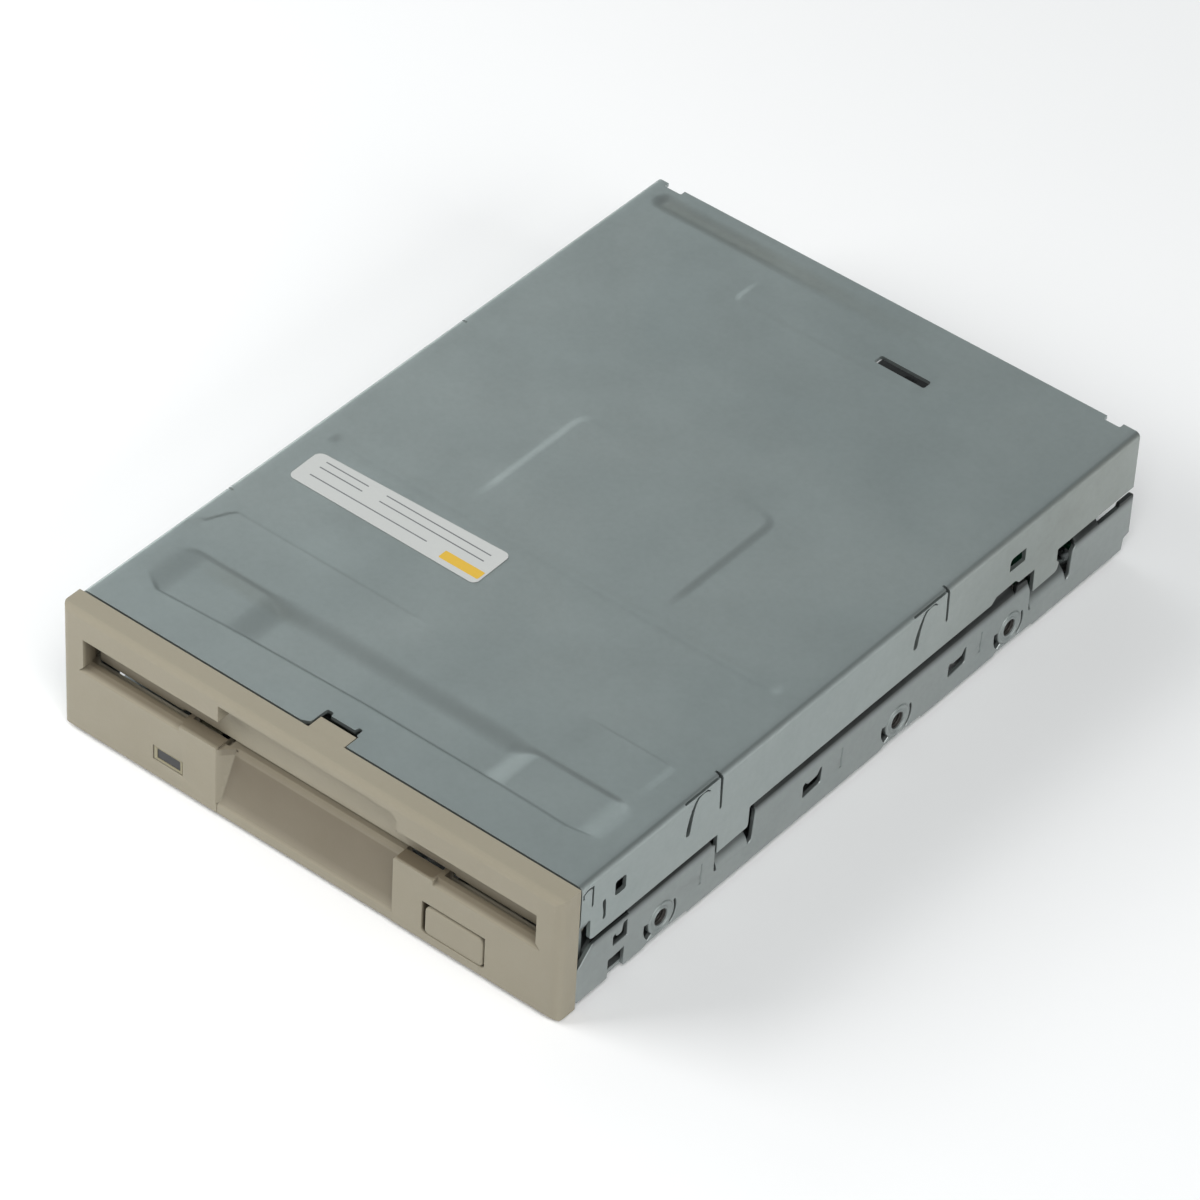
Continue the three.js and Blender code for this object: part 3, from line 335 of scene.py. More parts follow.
MAT = {
    # zinc with painted shade in the rear groove, on the band's edge and on the side flanges
    "zinc_cover": zinc_steel("zinc_cover", (0.418, 0.460, 0.449), (0.370, 0.416, 0.409), shade_mask=painted_shade_on_cover, shade_colour=(0.245, 0.245, 0.205)),
    # zinc with painted shade along the rim under the cover's flange and on the rolled lips
    "zinc_frame": zinc_steel("zinc_frame", (0.356, 0.386, 0.378), (0.313, 0.347, 0.342), shade_mask=painted_shade_under_rim),
    "zinc_plated_steel": zinc_steel("zinc_plated_steel", (0.408, 0.448, 0.437), (0.360, 0.404, 0.397)),
    "bare_steel": zinc_steel("bare_steel", (0.36, 0.375, 0.37), (0.30, 0.315, 0.315), (0.28, 0.4), 0.9, (1, 0.06, 1)),
    "bright_steel": zinc_steel("bright_steel", (0.58, 0.59, 0.585), (0.5, 0.51, 0.51), (0.14, 0.22), 0.97, (1, 0.05, 1), 0.000006),
    "beige_plastic": moulded("beige_plastic", (0.296, 0.268, 0.204), (0.280, 0.253, 0.191)),
    # beige with painted shade in the bezel's recess and openings
    "beige_painted_shade": moulded("beige_painted_shade", (0.296, 0.268, 0.204), (0.280, 0.253, 0.191), shade_mask=painted_shade_in_recess),
    # beige with painted shade on the flap's lower part
    "beige_flap": moulded("beige_flap", (0.296, 0.268, 0.204), (0.280, 0.253, 0.191), shade_mask=painted_shade_on_flap),
    # near-black painted shade inside the threaded bores of the frame's bosses
    "bore_painted_shade": zinc_steel("bore_painted_shade", (0.06, 0.055, 0.05), (0.04, 0.038, 0.035), (0.35, 0.5), 0.5),
    "black_plastic": moulded("black_plastic", (0.018, 0.018, 0.019), (0.026, 0.026, 0.027), 0.5),
    "nylon": moulded("nylon", (0.62, 0.60, 0.52), (0.55, 0.53, 0.46), 0.45),
    "clear_plastic": moulded("clear_plastic", (0.10, 0.10, 0.09), (0.08, 0.08, 0.075), 0.2, 3000, 0.000004),
    "lens_rim": moulded("lens_rim", (0.25, 0.225, 0.145), (0.29, 0.262, 0.172), 0.22, 3000, 0.000004),
    "lens_window": moulded("lens_window", (0.028, 0.029, 0.031), (0.040, 0.041, 0.043), 0.25, 3000, 0.000003),
    "label_yellow": moulded("label_yellow", (0.66, 0.42, 0.055), (0.62, 0.39, 0.05), 0.55, 4000, 0.000003),
    "label_grey": moulded("label_grey", (0.16, 0.165, 0.17), (0.2, 0.205, 0.21), 0.55, 4000, 0.000003),
    "label_paper": moulded("label_paper", (0.51, 0.52, 0.505), (0.49, 0.50, 0.485), 0.6, 4000, 0.000004),
    "circuit_board": moulded("circuit_board", (0.03, 0.12, 0.06), (0.02, 0.10, 0.05), 0.4),
    "polyimide_film": moulded("polyimide_film", (0.42, 0.18, 0.03), (0.36, 0.15, 0.03), 0.3),
    "copper_winding": zinc_steel("copper_winding", (0.55, 0.22, 0.10), (0.45, 0.17, 0.07), (0.3, 0.4), 0.9, (1, 1, 8), 0.00002),
    "bronze": zinc_steel("bronze", (0.42, 0.28, 0.12), (0.36, 0.24, 0.10), (0.3, 0.4), 0.95),
    "gold_plated_pins": zinc_steel("gold_plated_pins", (0.75, 0.55, 0.2), (0.7, 0.5, 0.18), (0.2, 0.3), 1.0),
    "aluminium": zinc_steel("aluminium", (0.6, 0.61, 0.61), (0.5, 0.51, 0.51), (0.3, 0.4), 0.95),
    "ferrite": moulded("ferrite", (0.03, 0.027, 0.025), (0.045, 0.04, 0.037), 0.6),
    "ceramic": moulded("ceramic", (0.28, 0.26, 0.23), (0.24, 0.22, 0.20), 0.3),
}
node_slot = {s["node"]: s["material_slot"] for s in frame["record"]["subparts"]}
for name, o in NODES.items():
    o.data.materials.clear()
    o.data.materials.append(MAT[node_slot[name]])

# ---------------------------------------------------------------- mesh helpers
def signed_area(poly):
    return 0.5 * sum(p[0] * q[1] - q[0] * p[1] for p, q in zip(poly, poly[1:] + poly[:1]))


def fillet(points, r=0.4, n=4):
    """Closed outline with its corners rounded. A point may carry its own radius as a third number."""
    out = []
    k = len(points)
    for i, p in enumerate(points):
        rad = p[2] if len(p) > 2 else r
        a, b, c = Vector(points[i - 1][:2]), Vector(p[:2]), Vector(points[(i + 1) % k][:2])
        u, v = a - b, c - b
        lu, lv = u.length, v.length
        if rad <= 1e-6 or lu < 1e-6 or lv < 1e-6:
            out.append((b.x, b.y))
            continue
        u.normalize()
        v.normalize()
        ang = math.acos(max(-1.0, min(1.0, u.dot(v))))
        if ang > math.pi - 0.05:
            out.append((b.x, b.y))
            continue
        t = min(rad / math.tan(ang / 2), 0.48 * lu, 0.48 * lv)
        rr = t * math.tan(ang / 2)
        bis = (u + v).normalized()
        centre = b + bis * (rr / math.sin(ang / 2))
        s, e = b + u * t - centre, b + v * t - centre
        a0 = math.atan2(s.y, s.x)
        da = math.atan2(e.y, e.x) - a0
        while da > math.pi:
            da -= 2 * math.pi
        while da < -math.pi:
            da += 2 * math.pi
        for j in range(n + 1):
            w = a0 + da * j / n
            out.append((centre.x + rr * math.cos(w), centre.y + rr * math.sin(w)))
    return out


def rect(u0, u1, v0, v1, r=0.3, n=4):
    return fillet([(u0, v0), (u1, v0), (u1, v1), (u0, v1)], r, n)


def ring(cu, cv, r, n=32):
    return [(cu + r * math.cos(2 * math.pi * i / n), cv + r * math.sin(2 * math.pi * i / n)) for i in range(n)]


def arc_band(cu, cv, r0, r1, a0, a1, n=12):
    out = []
    for r, s, e in ((r1, a0, a1), (r0, a1, a0)):
        for i in range(n + 1):
            a = math.radians(s + (e - s) * i / n)
            out.append((cu + r * math.cos(a), cv + r * math.sin(a)))
    return out


def ribbon(points, width, n=4):
    """Outline of a narrow slot along a line of points, with half-round ends; width is one value or one for each point."""
    pts = [Vector(p[:2]) for p in points]
    ws = list(width) if isinstance(width, (list, tuple)) else [width] * len(pts)
    left, rgt = [], []
    for i, p in enumerate(pts):
        a, b = pts[max(0, i - 1)], pts[min(len(pts) - 1, i + 1)]
        d = (b - a).normalized()
        nrm = Vector((-d.y, d.x)) * ws[i] / 2
        left.append(p + nrm)
        rgt.append(p - nrm)
    d1 = (pts[-1] - pts[-2]).normalized()
    d0 = (pts[0] - pts[1]).normalized()

    def cap(c, d, w):
        a0 = math.atan2(d.y, d.x) - math.pi / 2
        return [Vector((c.x + w / 2 * math.cos(a0 + math.pi * i / n), c.y + w / 2 * math.sin(a0 + math.pi * i / n))) for i in range(1, n)]
    out = rgt + cap(pts[-1], d1, ws[-1]) + left[::-1] + cap(pts[0], d0, ws[0])
    return [(v.x, v.y) for v in out]


def inset(poly, d):
    """Moves each point of a closed outline by d to the left of its direction."""
    out, k = [], len(poly)
    for i, p in enumerate(poly):
        a, b, c = Vector(poly[i - 1]), Vector(p), Vector(poly[(i + 1) % k])
        u, v = (b - a), (c - b)
        if u.length < 1e-7:
            u = v
        if v.length < 1e-7:
            v = u
        n1, n2 = Vector((-u.y, u.x)).normalized(), Vector((-v.y, v.x)).normalized()
        m = n1 + n2
        if m.length < 1e-5:
            out.append((b.x, b.y))
            continue
        m.normalize()
        s = d / max(0.35, m.dot(n1))
        out.append((b.x + m.x * s, b.y + m.y * s))
    return out


def clean_loop(poly, tol=1e-4):
    out = []
    for p in poly:
        if not out or (Vector(p[:2]) - Vector(out[-1])).length > tol:
            out.append((p[0], p[1]))
    if len(out) > 1 and (Vector(out[0]) - Vector(out[-1])).length <= tol:
        out.pop()
    return out


class Shell:
    """Collects closed surfaces, in drawing millimetres, for one piece."""

    def __init__(self):
        self.v, self.f, self.m = [], [], []

    def add(self, verts, faces, mat=0):
        k = len(self.v)
        self.v += [tuple(p) for p in verts]
        self.f += [tuple(i + k for i in f) for f in faces]
        self.m += [mat] * len(faces)
        return self

    def plate(self, axis, outline, a, b, holes=(), bevel=0.1, mat=0):
        """Flat sheet between a and b along axis, with its rims chamfered. Points are (y,z), (x,z) or (x,y)."""
        loops = []
        for i, poly in enumerate([outline, *holes]):
            poly = clean_loop(poly)
            if (signed_area(poly) > 0) != (i == 0):
                poly = poly[::-1]
            loops.append(poly)
        bevel = min(bevel, (b - a) * 0.45)
        small = [inset(p, bevel) for p in loops] if bevel > 0 else loops
        levels = [(small, a), (loops, a + bevel), (loops, b - bevel), (small, b)] if bevel > 0 else [(loops, a), (loops, b)]
        verts, start = [], []
        for ls, w in levels:
            start.append(len(verts))
            for lp in ls:
                verts += [(p[0], p[1], w) for p in lp]
        tri = tessellate_polygon([[Vector((p[0], p[1], 0)) for p in lp] for lp in small])
        flat = [p for lp in small for p in lp]
        faces = []
        for t in tri:
            i, j, k = t
            ar = (flat[j][0] - flat[i][0]) * (flat[k][1] - flat[i][1]) - (flat[k][0] - flat[i][0]) * (flat[j][1] - flat[i][1])
            if ar < 0:
                i, k = k, i
            faces.append((start[-1] + i, start[-1] + j, start[-1] + k))
            faces.append((start[0] + k, start[0] + j, start[0] + i))
        for lv in range(len(levels) - 1):
            o = 0
            for lp in loops:
                n = len(lp)
                for i in range(n):
                    j = (i + 1) % n
                    p, q = start[lv] + o, start[lv + 1] + o
                    faces.append((p + i, p + j, q + j, q + i))
                o += n
        return self.add(*turn(axis, verts, faces), mat=mat)

    def lathe(self, axis, profile, u, v, n=40, mat=0, a0=0.0, a1=360.0):
        """Closed profile of (radius, along) turned about an axis through (u, v)."""
        full = abs(a1 - a0) >= 359.99
        steps = n if full else n + 1
        k = len(profile)
        verts, faces = [], []
        for i in range(steps):
            a = math.radians(a0 + (a1 - a0) * i / n)
            for r, w in profile:
                verts.append((u + r * math.cos(a), v + r * math.sin(a), w))
        for i in range(n):
            p, q = i * k, ((i + 1) % steps) * k
            for j in range(k):
                jj = (j + 1) % k
                f = [p + j, p + jj, q + jj, q + j]
                faces.append(tuple(f))
        if not full:
            faces.append(tuple(range(k))[::-1])
            faces.append(tuple(range((steps - 1) * k, steps * k)))
        faces = [f[::-1] for f in faces]
        if signed_area([(r, w) for r, w in profile]) < 0:
            faces = [f[::-1] for f in faces]
        return self.add(*turn(axis, verts, faces), mat=mat)

    def tube(self, path, radius, n=10, closed=False, mat=0, caps=True):
        """Round wire along a line of 3-D points."""
        pts = [Vector(p) for p in path]
        k = len(pts)
        tang = []
        for i in range(k):
            a, b = (pts[i - 1], pts[(i + 1) % k]) if closed else (pts[max(0, i - 1)], pts[min(k - 1, i + 1)])
            tang.append((b - a).normalized())
        ref = Vector((0, 0, 1)) if abs(tang[0].z) < 0.9 else Vector((1, 0, 0))
        nrm = (ref - tang[0] * ref.dot(tang[0])).normalized()
        verts, faces = [], []
        for i in range(k):
            nrm = (nrm - tang[i] * nrm.dot(tang[i])).normalized()
            bi = tang[i].cross(nrm)
            for j in range(n):
                a = 2 * math.pi * j / n
                verts.append(tuple(pts[i] + (nrm * math.cos(a) + bi * math.sin(a)) * radius))
        for i in range(k if closed else k - 1):
            p, q = i * n, ((i + 1) % k) * n
            for j in range(n):
                faces.append((p + j, p + (j + 1) % n, q + (j + 1) % n, q + j))
        if not closed and caps:
            faces.append(tuple(range(n))[::-1])
            faces.append(tuple(range((k - 1) * n, k * n)))
        return self.add(verts, faces, mat=mat)

    def loft(self, sections, mat=0):
        """Solid through closed sections with the same number of 3-D points."""
        k = len(sections[0])
        verts = [p for s in sections for p in s]
        faces = []
        for i in range(len(sections) - 1):
            for j in range(k):
                jj = (j + 1) % k
                faces.append((i * k + j, i * k + jj, (i + 1) * k + jj, (i + 1) * k + j))
        faces.append(tuple(range(k))[::-1])
        faces.append(tuple(range((len(sections) - 1) * k, len(sections) * k)))
        return self.add(verts, faces, mat=mat)

    def mirror_x(self):
        verts = [(-x, y, z) for x, y, z in self.v]
        faces = [f[::-1] for f in self.f]
        k = len(self.v)
        self.v += verts
        self.f += [tuple(i + k for i in f) for f in faces]
        self.m += list(self.m)
        return self

    def mesh(self, name, mats=()):
        me = bpy.data.meshes.new(name)
        me.from_pydata([P(*p) for p in self.v], [], self.f)
        for m in mats:
            me.materials.append(m)
        me.polygons.foreach_set("material_index", self.m)
        me.validate()
        me.update()
        return me


def turn(axis, verts, faces):
    if axis == "z":
        return verts, faces
    if axis == "x":
        return [(w, u, v) for u, v, w in verts], faces
    return [(u, w, v) for u, v, w in verts], [f[::-1] for f in faces]


def outward(me):
    bm = bmesh.new()
    bm.from_mesh(me)
    bmesh.ops.recalc_face_normals(bm, faces=bm.faces)
    bm.to_mesh(me)
    bm.free()
    return me


def shade(me, angle=32):
    me.shade_smooth()
    me.set_sharp_from_angle(angle=math.radians(angle))
    return me


def carve(me, tools, solver="EXACT", op="DIFFERENCE"):
    """Cuts the tools, each a Shell, from a mesh and gives the new mesh."""
    o = bpy.data.objects.new("work", me)
    scene.collection.objects.link(o)
    made = [o]
    for i, t in enumerate(tools):
        tm = outward(t.mesh(f"tool{i}"))
        to = bpy.data.objects.new(f"tool{i}", tm)
        scene.collection.objects.link(to)
        made.append(to)
        m = o.modifiers.new(f"cut{i}", "BOOLEAN")
        m.operation, m.object, m.solver = op, to, solver
    bpy.context.view_layer.update()
    out = bpy.data.meshes.new_from_object(o.evaluated_get(bpy.context.evaluated_depsgraph_get()))
    for x in made:
        bpy.data.objects.remove(x)
    return out


def tidy(me, angle=0.6, weld=0.004, back=None, parts=()):
    """Welds and joins flat neighbouring faces, so that bevels run cleanly; the flat back at y = back stays parted at each x of parts."""
    bm = bmesh.new()
    bm.from_mesh(me)
    bmesh.ops.remove_doubles(bm, verts=bm.verts, dist=weld * MM)
    bm.normal_update()
    for x in parts:
        faces = [f for f in bm.faces if abs(f.normal.y) > 0.99 and all(abs(v.co.y - back) < 2e-5 for v in f.verts)]
        geom = faces + list({e for f in faces for e in f.edges}) + list({v for f in faces for v in f.verts})
        bmesh.ops.bisect_plane(bm, geom=geom, dist=1e-6, plane_co=(x * MM, 0, 0), plane_no=(1, 0, 0))
    held = {e for e in bm.edges for x in parts if all(abs(v.co.x - x * MM) < 2e-6 and abs(v.co.y - back) < 2e-5 for v in e.verts)}
    bmesh.ops.dissolve_limit(bm, angle_limit=math.radians(angle), use_dissolve_boundaries=False, verts=bm.verts, edges=[e for e in bm.edges if e not in held], delimit=set())
    bmesh.ops.recalc_face_normals(bm, faces=bm.faces)
    bm.to_mesh(me)
    bm.free()
    return me


def bevel(obj, width, segments=2, angle=28):
    m = obj.modifiers.new("edge rounding", "BEVEL")
    m.width = width * MM
    m.segments = segments
    m.limit_method = "ANGLE"
    m.angle_limit = math.radians(angle)
    m.use_clamp_overlap = True
    m.harden_normals = True
    m.miter_outer = "MITER_ARC"
    return m


def piece(name, me, body, node=None, mats=None):
    """Adds a finished piece to the object."""
    if mats is not None:
        which = np.zeros(len(me.polygons), np.int32)
        me.polygons.foreach_get("material_index", which)
        me.materials.clear()
        for m in mats:
            me.materials.append(m)
        me.polygons.foreach_set("material_index", which)
    o = bpy.data.objects.new(name, me)
    scene.collection.objects.link(o)
    if body:
        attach(o, body)
    for n in ([node] if isinstance(node, str) else node or []):
        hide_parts(n)
    return o


def smooth(t):
    t = np.clip(t, 0, 1)
    return t * t * (3 - 2 * t)


def rise(v, a, b):
    return smooth((v - a) / (b - a))


def sd_rect(x, y, x0, x1, y0, y1, r):
    """Signed distance to a rectangle with rounded corners."""
    qx = np.abs(x - (x0 + x1) / 2) - (x1 - x0) / 2 + r
    qy = np.abs(y - (y0 + y1) / 2) - (y1 - y0) / 2 + r
    return np.minimum(np.maximum(qx, qy), 0) + np.hypot(np.maximum(qx, 0), np.maximum(qy, 0)) - r


def lines(lo, hi, step, dense):
    """Grid lines from lo to hi, closer together in the dense stretches (a, b, step)."""
    out = set(np.round(np.linspace(lo, hi, int(math.ceil((hi - lo) / step)) + 1), 4))
    for a, b, s in dense:
        a, b = max(lo, a), min(hi, b)
        out |= set(np.round(np.linspace(a, b, int(math.ceil((b - a) / s)) + 1), 4))
    out = sorted(out)
    keep = [out[0]]
    for v in out[1:]:
        if v - keep[-1] > 0.05:
            keep.append(v)
    keep[-1] = out[-1]
    return np.array(keep)


# ---------------------------------------------------------------- cover
def pressed(x, y):
    """Height of the stamped shapes on the cover's top."""
    h = np.zeros_like(x)
    ax = np.abs(x)
    # front band: two shallow ends and a deeper middle
    left = rise(x, -46.6, -40.5) * 0.36 + rise(x, -29.2, -22.2) * 0.52
    rgt = (1 - rise(x, 41.0, 46.4)) * 0.36 + (1 - rise(x, 22.4, 27.2)) * 0.52
    depth = np.minimum(left, rgt)
    lead = np.interp(x, [-46, -42, -24, 0, 24, 40, 46], [14.6, 12.3, 13.3, 14.0, 14.0, 13.7, 14.6])
    wide = rise(x, -29, -23) * (1 - rise(x, 21.5, 27))
    r0 = 23.2 - 2.4 * wide - 1.6 * rise(ax, 42.5, 46.5)
    r1 = 24.4 + 0.9 * wide - 1.0 * rise(ax, 42.5, 46.5)
    h -= depth * rise(y, lead, lead + 1.0 + 0.3 * wide) * (1 - rise(y, r0, r1))
    # thin step behind it
    amp = 0.10 * ((1 - rise(x, -9, -3)) + rise(x, 26, 31.5) * (1 - rise(x, 43, 45)))
    line = 35.0 - 7.0 * rise(-x, 44.6, 49.4)
    h -= amp * (1 - rise(y, line - 0.28, line + 0.28)) * rise(y, 25.5, 31.0)
    # groove across the middle
    h -= 0.17 * np.exp(-(((y - 59.2) / 1.15) ** 2)) * rise(x, -46.6, -44.6) * (1 - rise(x, 43.6, 46.2))
    # raised field behind it, fading into the groove
    sd = sd_rect(x, y, -19.5, 20.0, 55.0, 91.0, 2.6)
    soft = 0.95 + 2.4 * (1 - rise(np.abs(x), 9, 18)) * rise(y, 78, 88)
    h += 0.185 * (1 - rise(sd, -soft, soft)) * rise(y, 62.0, 69.5)
    # rear left groove
    half = 1.35 - 0.75 * rise(x, -28, -6)
    gd = np.hypot(np.maximum(-45.2 - x, 0) * 1.0, y - (143.9 + 0.35 * rise(x, -28, -6) * -3.2))
    h -= 0.40 * (1 - rise(gd, half - 1.2, half + 1.3)) * (1 - 0.8 * rise(x, -30, -4)) * (1 - rise(x, 8, 20))
    # small raised field at the rear
    sd2 = sd_rect(x, y, -20.2, 17.0, 131.5, 141.0, 1.2)
    h += 0.165 * (1 - rise(sd2, -0.65, 0.65)) * (1 - rise(y, 133.6, 138.6)) * (1 - 0.5 * rise(x, 6, 15))
    return h


def flange_dent(y, z):
    """How far the spring tongues in the side flanges are pressed inwards."""
    d = np.zeros_like(y)
    for y0 in (0.0, 57.65):
        a, b = 30.5 + y0, 38.5 + y0
        u = (y - a) / (b - a)
        band = rise(u, 0.02, 0.45) * (1 - rise(u, 0.93, 1.02))
        d += 0.30 * band * rise(z, 18.6, 23.6) * (y > a - 0.2) * (y < b + 0.05)
    # front corner, bent inwards beside the hook
    d += 1.5 * (1 - rise(z, 13.2, 17.9)) * (1 - rise(y, 7.15, 7.3))
    d -= 0.16 * rise(z, 14.6, 16.2) * (1 - rise(z, 16.6, 18.2)) * rise(y, 7.4, 8.4) * (1 - rise(y, 10.3, 10.8))
    return d


R_BEND = 0.95
T_COVER = 0.7
HXC, ZT = 50.6, 25.2
xs = lines(-(HXC - R_BEND), HXC - R_BEND, 1.0, [(-47.5, -39.5, 0.35), (-30, -18, 0.3), (18.5, 28, 0.3), (40, 47, 0.35)])
ys = lines(5.05, 148.4, 1.0, [(6.5, 11.2, 0.3), (11.5, 26, 0.28), (26, 36.5, 0.3), (57, 62, 0.3), (62, 68, 0.8), (88.5, 92.5, 0.25), (130.5, 139, 0.35), (139, 147, 0.28), (29.5, 39.0, 0.35), (86.8, 97, 0.35)])
zs = lines(8.4, ZT - R_BEND, 1.2, [(12.6, 18.2, 0.5), (18.0, 24.2, 0.6)])
prof, nrm = [], []           # left flange, bend, top, bend, right flange, seen from the front
for z in zs:
    prof.append((-HXC, z))
    nrm.append((-1, 0))
for i in range(1, 6):
    a = math.radians(180 - 15 * i)
    prof.append((-HXC + R_BEND + R_BEND * math.cos(a), ZT - R_BEND + R_BEND * math.sin(a)))
    nrm.append((math.cos(a), math.sin(a)))
for x in xs:
    prof.append((x, ZT))
    nrm.append((0, 1))
for i in range(1, 6):
    a = math.radians(90 - 15 * i)
    prof.append((HXC - R_BEND + R_BEND * math.cos(a), ZT - R_BEND + R_BEND * math.sin(a)))
    nrm.append((math.cos(a), math.sin(a)))
for z in zs[::-1]:
    prof.append((HXC, z))
    nrm.append((1, 0))
prof, nrm = np.array(prof), np.array(nrm)
GX = np.repeat(prof[None, :, 0], len(ys), 0)
GZ = np.repeat(prof[None, :, 1], len(ys), 0)
NX = np.repeat(nrm[None, :, 0], len(ys), 0)
NZ = np.repeat(nrm[None, :, 1], len(ys), 0)
GY = np.repeat(ys[:, None], prof.shape[0], 1)
dz = np.where(NZ > 0.999, pressed(GX, GY), 0.0)
dx = np.where(np.abs(NX) > 0.999, -np.sign(NX) * flange_dent(GY, GZ), 0.0)
outer = np.stack([GX + dx, GY, GZ + dz], -1)
inner = np.stack([GX + dx - NX * T_COVER, GY, GZ + dz - NZ * T_COVER], -1)
ny_, np_ = outer.shape[:2]
co = np.concatenate([outer.reshape(-1, 3), inner.reshape(-1, 3)])
idx = np.arange(ny_ * np_).reshape(ny_, np_)
A, B, C, D = idx[:-1, :-1].ravel(), idx[:-1, 1:].ravel(), idx[1:, 1:].ravel(), idx[1:, :-1].ravel()
N0 = ny_ * np_
quads = [np.stack([A, B, C, D], 1), np.stack([D, C, B, A], 1) + N0]
for e in (idx[0, :], idx[:, -1], idx[-1, ::-1], idx[::-1, 0]):
    quads.append(np.stack([e[:-1], e[:-1] + N0, e[1:] + N0, e[1:]], 1))
quads = np.concatenate(quads)
me = bpy.data.meshes.new("top_cover_sheet")
co = (co - np.array([0, YC, 0])) * MM
me.vertices.add(len(co))
me.vertices.foreach_set("co", co.astype(np.float32).ravel())
me.loops.add(quads.size)
me.polygons.add(len(quads))
me.loops.foreach_set("vertex_index", quads.astype(np.int32).ravel())
me.polygons.foreach_set("loop_start", np.arange(0, quads.size, 4, dtype=np.int32))
me.update(calc_edges=True)
me.validate()
outward(me)

# lower edge of the flanges, with the tabs that go into the frame's lips
edge = [(3, 7.0, 0), (3, 12.8, 0), (7.0, 12.9, 0.3), (7.1, 16.9, 0.15), (7.45, 16.9, 0.15), (7.5, 12.9, 0.5), (8.4, 12.65, 0.4), (38.5, 12.75, 0.25), (38.6, 8.7, 0.25), (46.4, 8.9, 0.6), (46.5, 13.0, 0.3), (78.0, 13.3, 0), (109.2, 13.4, 0.6), (110.4, 14.4, 0.5), (115.6, 14.5, 0.5), (116.6, 13.6, 0.4),
        (120.9, 13.5, 0.25), (121.0, 8.7, 0.25), (127.6, 8.9, 0.9), (128.1, 10.6, 0.5), (127.3, 11.1, 0.25), (127.3, 13.7, 0.3), (151, 13.7, 0), (151, 7.0, 0)]
cut_shapes = [
    fillet(edge, 0.3),
    rect(13.2, 15.8, 17.8, 20.7, 0.45),
    fillet([(113.5, 17.6, 0.2), (117.7, 17.6, 0.1), (117.7, 20.2, 0.1), (113.5, 20.2, 0.9)], 0.2),
    ribbon([(30.0, 24.80), (38.35, 24.80)], 0.34), ribbon([(38.55, 25.1), (38.72, 24.2), (38.75, 18.3)], 0.55),
    ribbon([(36.2, 23.35), (35.5, 23.85), (34.8, 24.1), (34.0, 24.1), (33.2, 23.8), (32.45, 23.2), (31.85, 22.3), (31.35, 21.1), (31.0, 19.7), (30.8, 18.2)], [0.22, 0.3, 0.42, 0.55, 0.68, 0.8, 0.92, 1.02, 1.1, 1.1]),
    ribbon([(87.6, 24.80), (96.2, 24.80)], 0.34), ribbon([(96.3, 25.1), (96.42, 24.2), (96.45, 18.6)], 0.55),
    ribbon([(93.9, 23.4), (93.2, 23.9), (92.5, 24.12), (91.7, 24.12), (90.85, 23.8), (90.1, 23.15), (89.4, 22.1), (88.85, 20.9), (88.5, 19.6), (88.3, 18.2)], [0.22, 0.3, 0.42, 0.55, 0.68, 0.8, 0.92, 1.02, 1.1, 1.1]),
    ribbon([(5.55, 22.5), (5.5, 23.3), (6.2, 23.75), (7.1, 23.8), (7.7, 23.6)], 0.34), ribbon([(7.75, 23.7), (7.75, 19.8)], 0.42),
    ribbon([(10.65, 18.6), (10.75, 15.3)], 0.8),
]
cutters = [Shell(), Shell(), Shell()]
for i, shape in enumerate(cut_shapes):
    for s in (-1, 1):
        a, b = sorted((s * 49.2, s * 51.6))
        cutters[1 if i in (3, 6, 9) else 0].plate("x", shape, a, b, bevel=0)
for args in [
    ("z", rect(7.1, 17.4, 133.6, 135.75, 0.45), 23.5, 27),
    ("z", fillet([(-48.2, 147.3, 0.3), (-44.7, 147.3, 0.3), (-44.7, 150, 0), (-48.2, 150, 0)]), 23.5, 27),
    ("z", fillet([(43.9, 147.3, 0.3), (47.2, 147.3, 0.3), (47.2, 150, 0), (43.9, 150, 0)]), 23.5, 27),
    # notch for the bezel's latch tab, with its two small hooks
    ("z", fillet([(-5.3, 3.5, 0), (-5.3, 5.06, 0.1), (-3.85, 5.7, 0.8), (-3.8, 8.6, 0.2), (-3.75, 9.55, 0.35), (-2.45, 9.6, 0.4), (-2.35, 8.75, 0.15), (2.5, 8.75, 0.15), (2.6, 9.6, 0.3), (3.45, 9.55, 0.3),
                               (3.5, 8.0, 0.15), (3.95, 7.9, 0.1), (3.95, 3.5, 0)], 0.2, 5), 23.5, 27),
]:
    cutters[2].plate(*args, bevel=0)
cover_me = carve(me, cutters, "MANIFOLD")
rear = Shell().plate("y", fillet([(-44.5, 17.2, 0.6), (43.7, 17.2, 0.6), (43.7, 24.6, 0.3), (-44.5, 24.6, 0.3)], 0.4), 147.72, 148.4, bevel=0.15)
rear.loft([[(-44.5, 147.75 + 0.0, 24.52), (43.7, 147.75, 24.52), (43.7, 147.75, 25.15), (-44.5, 147.75, 25.15)],
           [(-44.5, 148.2, 24.5), (43.7, 148.2, 24.5), (43.7, 148.2, 24.95), (-44.5, 148.2, 24.95)],
           [(-44.5, 148.4, 24.4), (43.7, 148.4, 24.4), (43.7, 148.4, 24.6), (-44.5, 148.4, 24.6)]])
for x0, x1 in ((-48.7, -44.4), (43.6, 47.7)):        # low corner tongues behind the two notches
    rear.plate("y", rect(x0, x1, 21.5, 24.0, 0.2), 147.75, 148.35, bevel=0.12)
rear_me = outward(rear.mesh("rear_flange"))
bm = bmesh.new()
bm.from_mesh(cover_me)
bm.from_mesh(rear_me)
bm.to_mesh(cover_me)
bm.free()
shade(cover_me, 34)
cover = piece("top_cover_sheet", cover_me, "chassis", "top_cover", [MAT["zinc_cover"]])

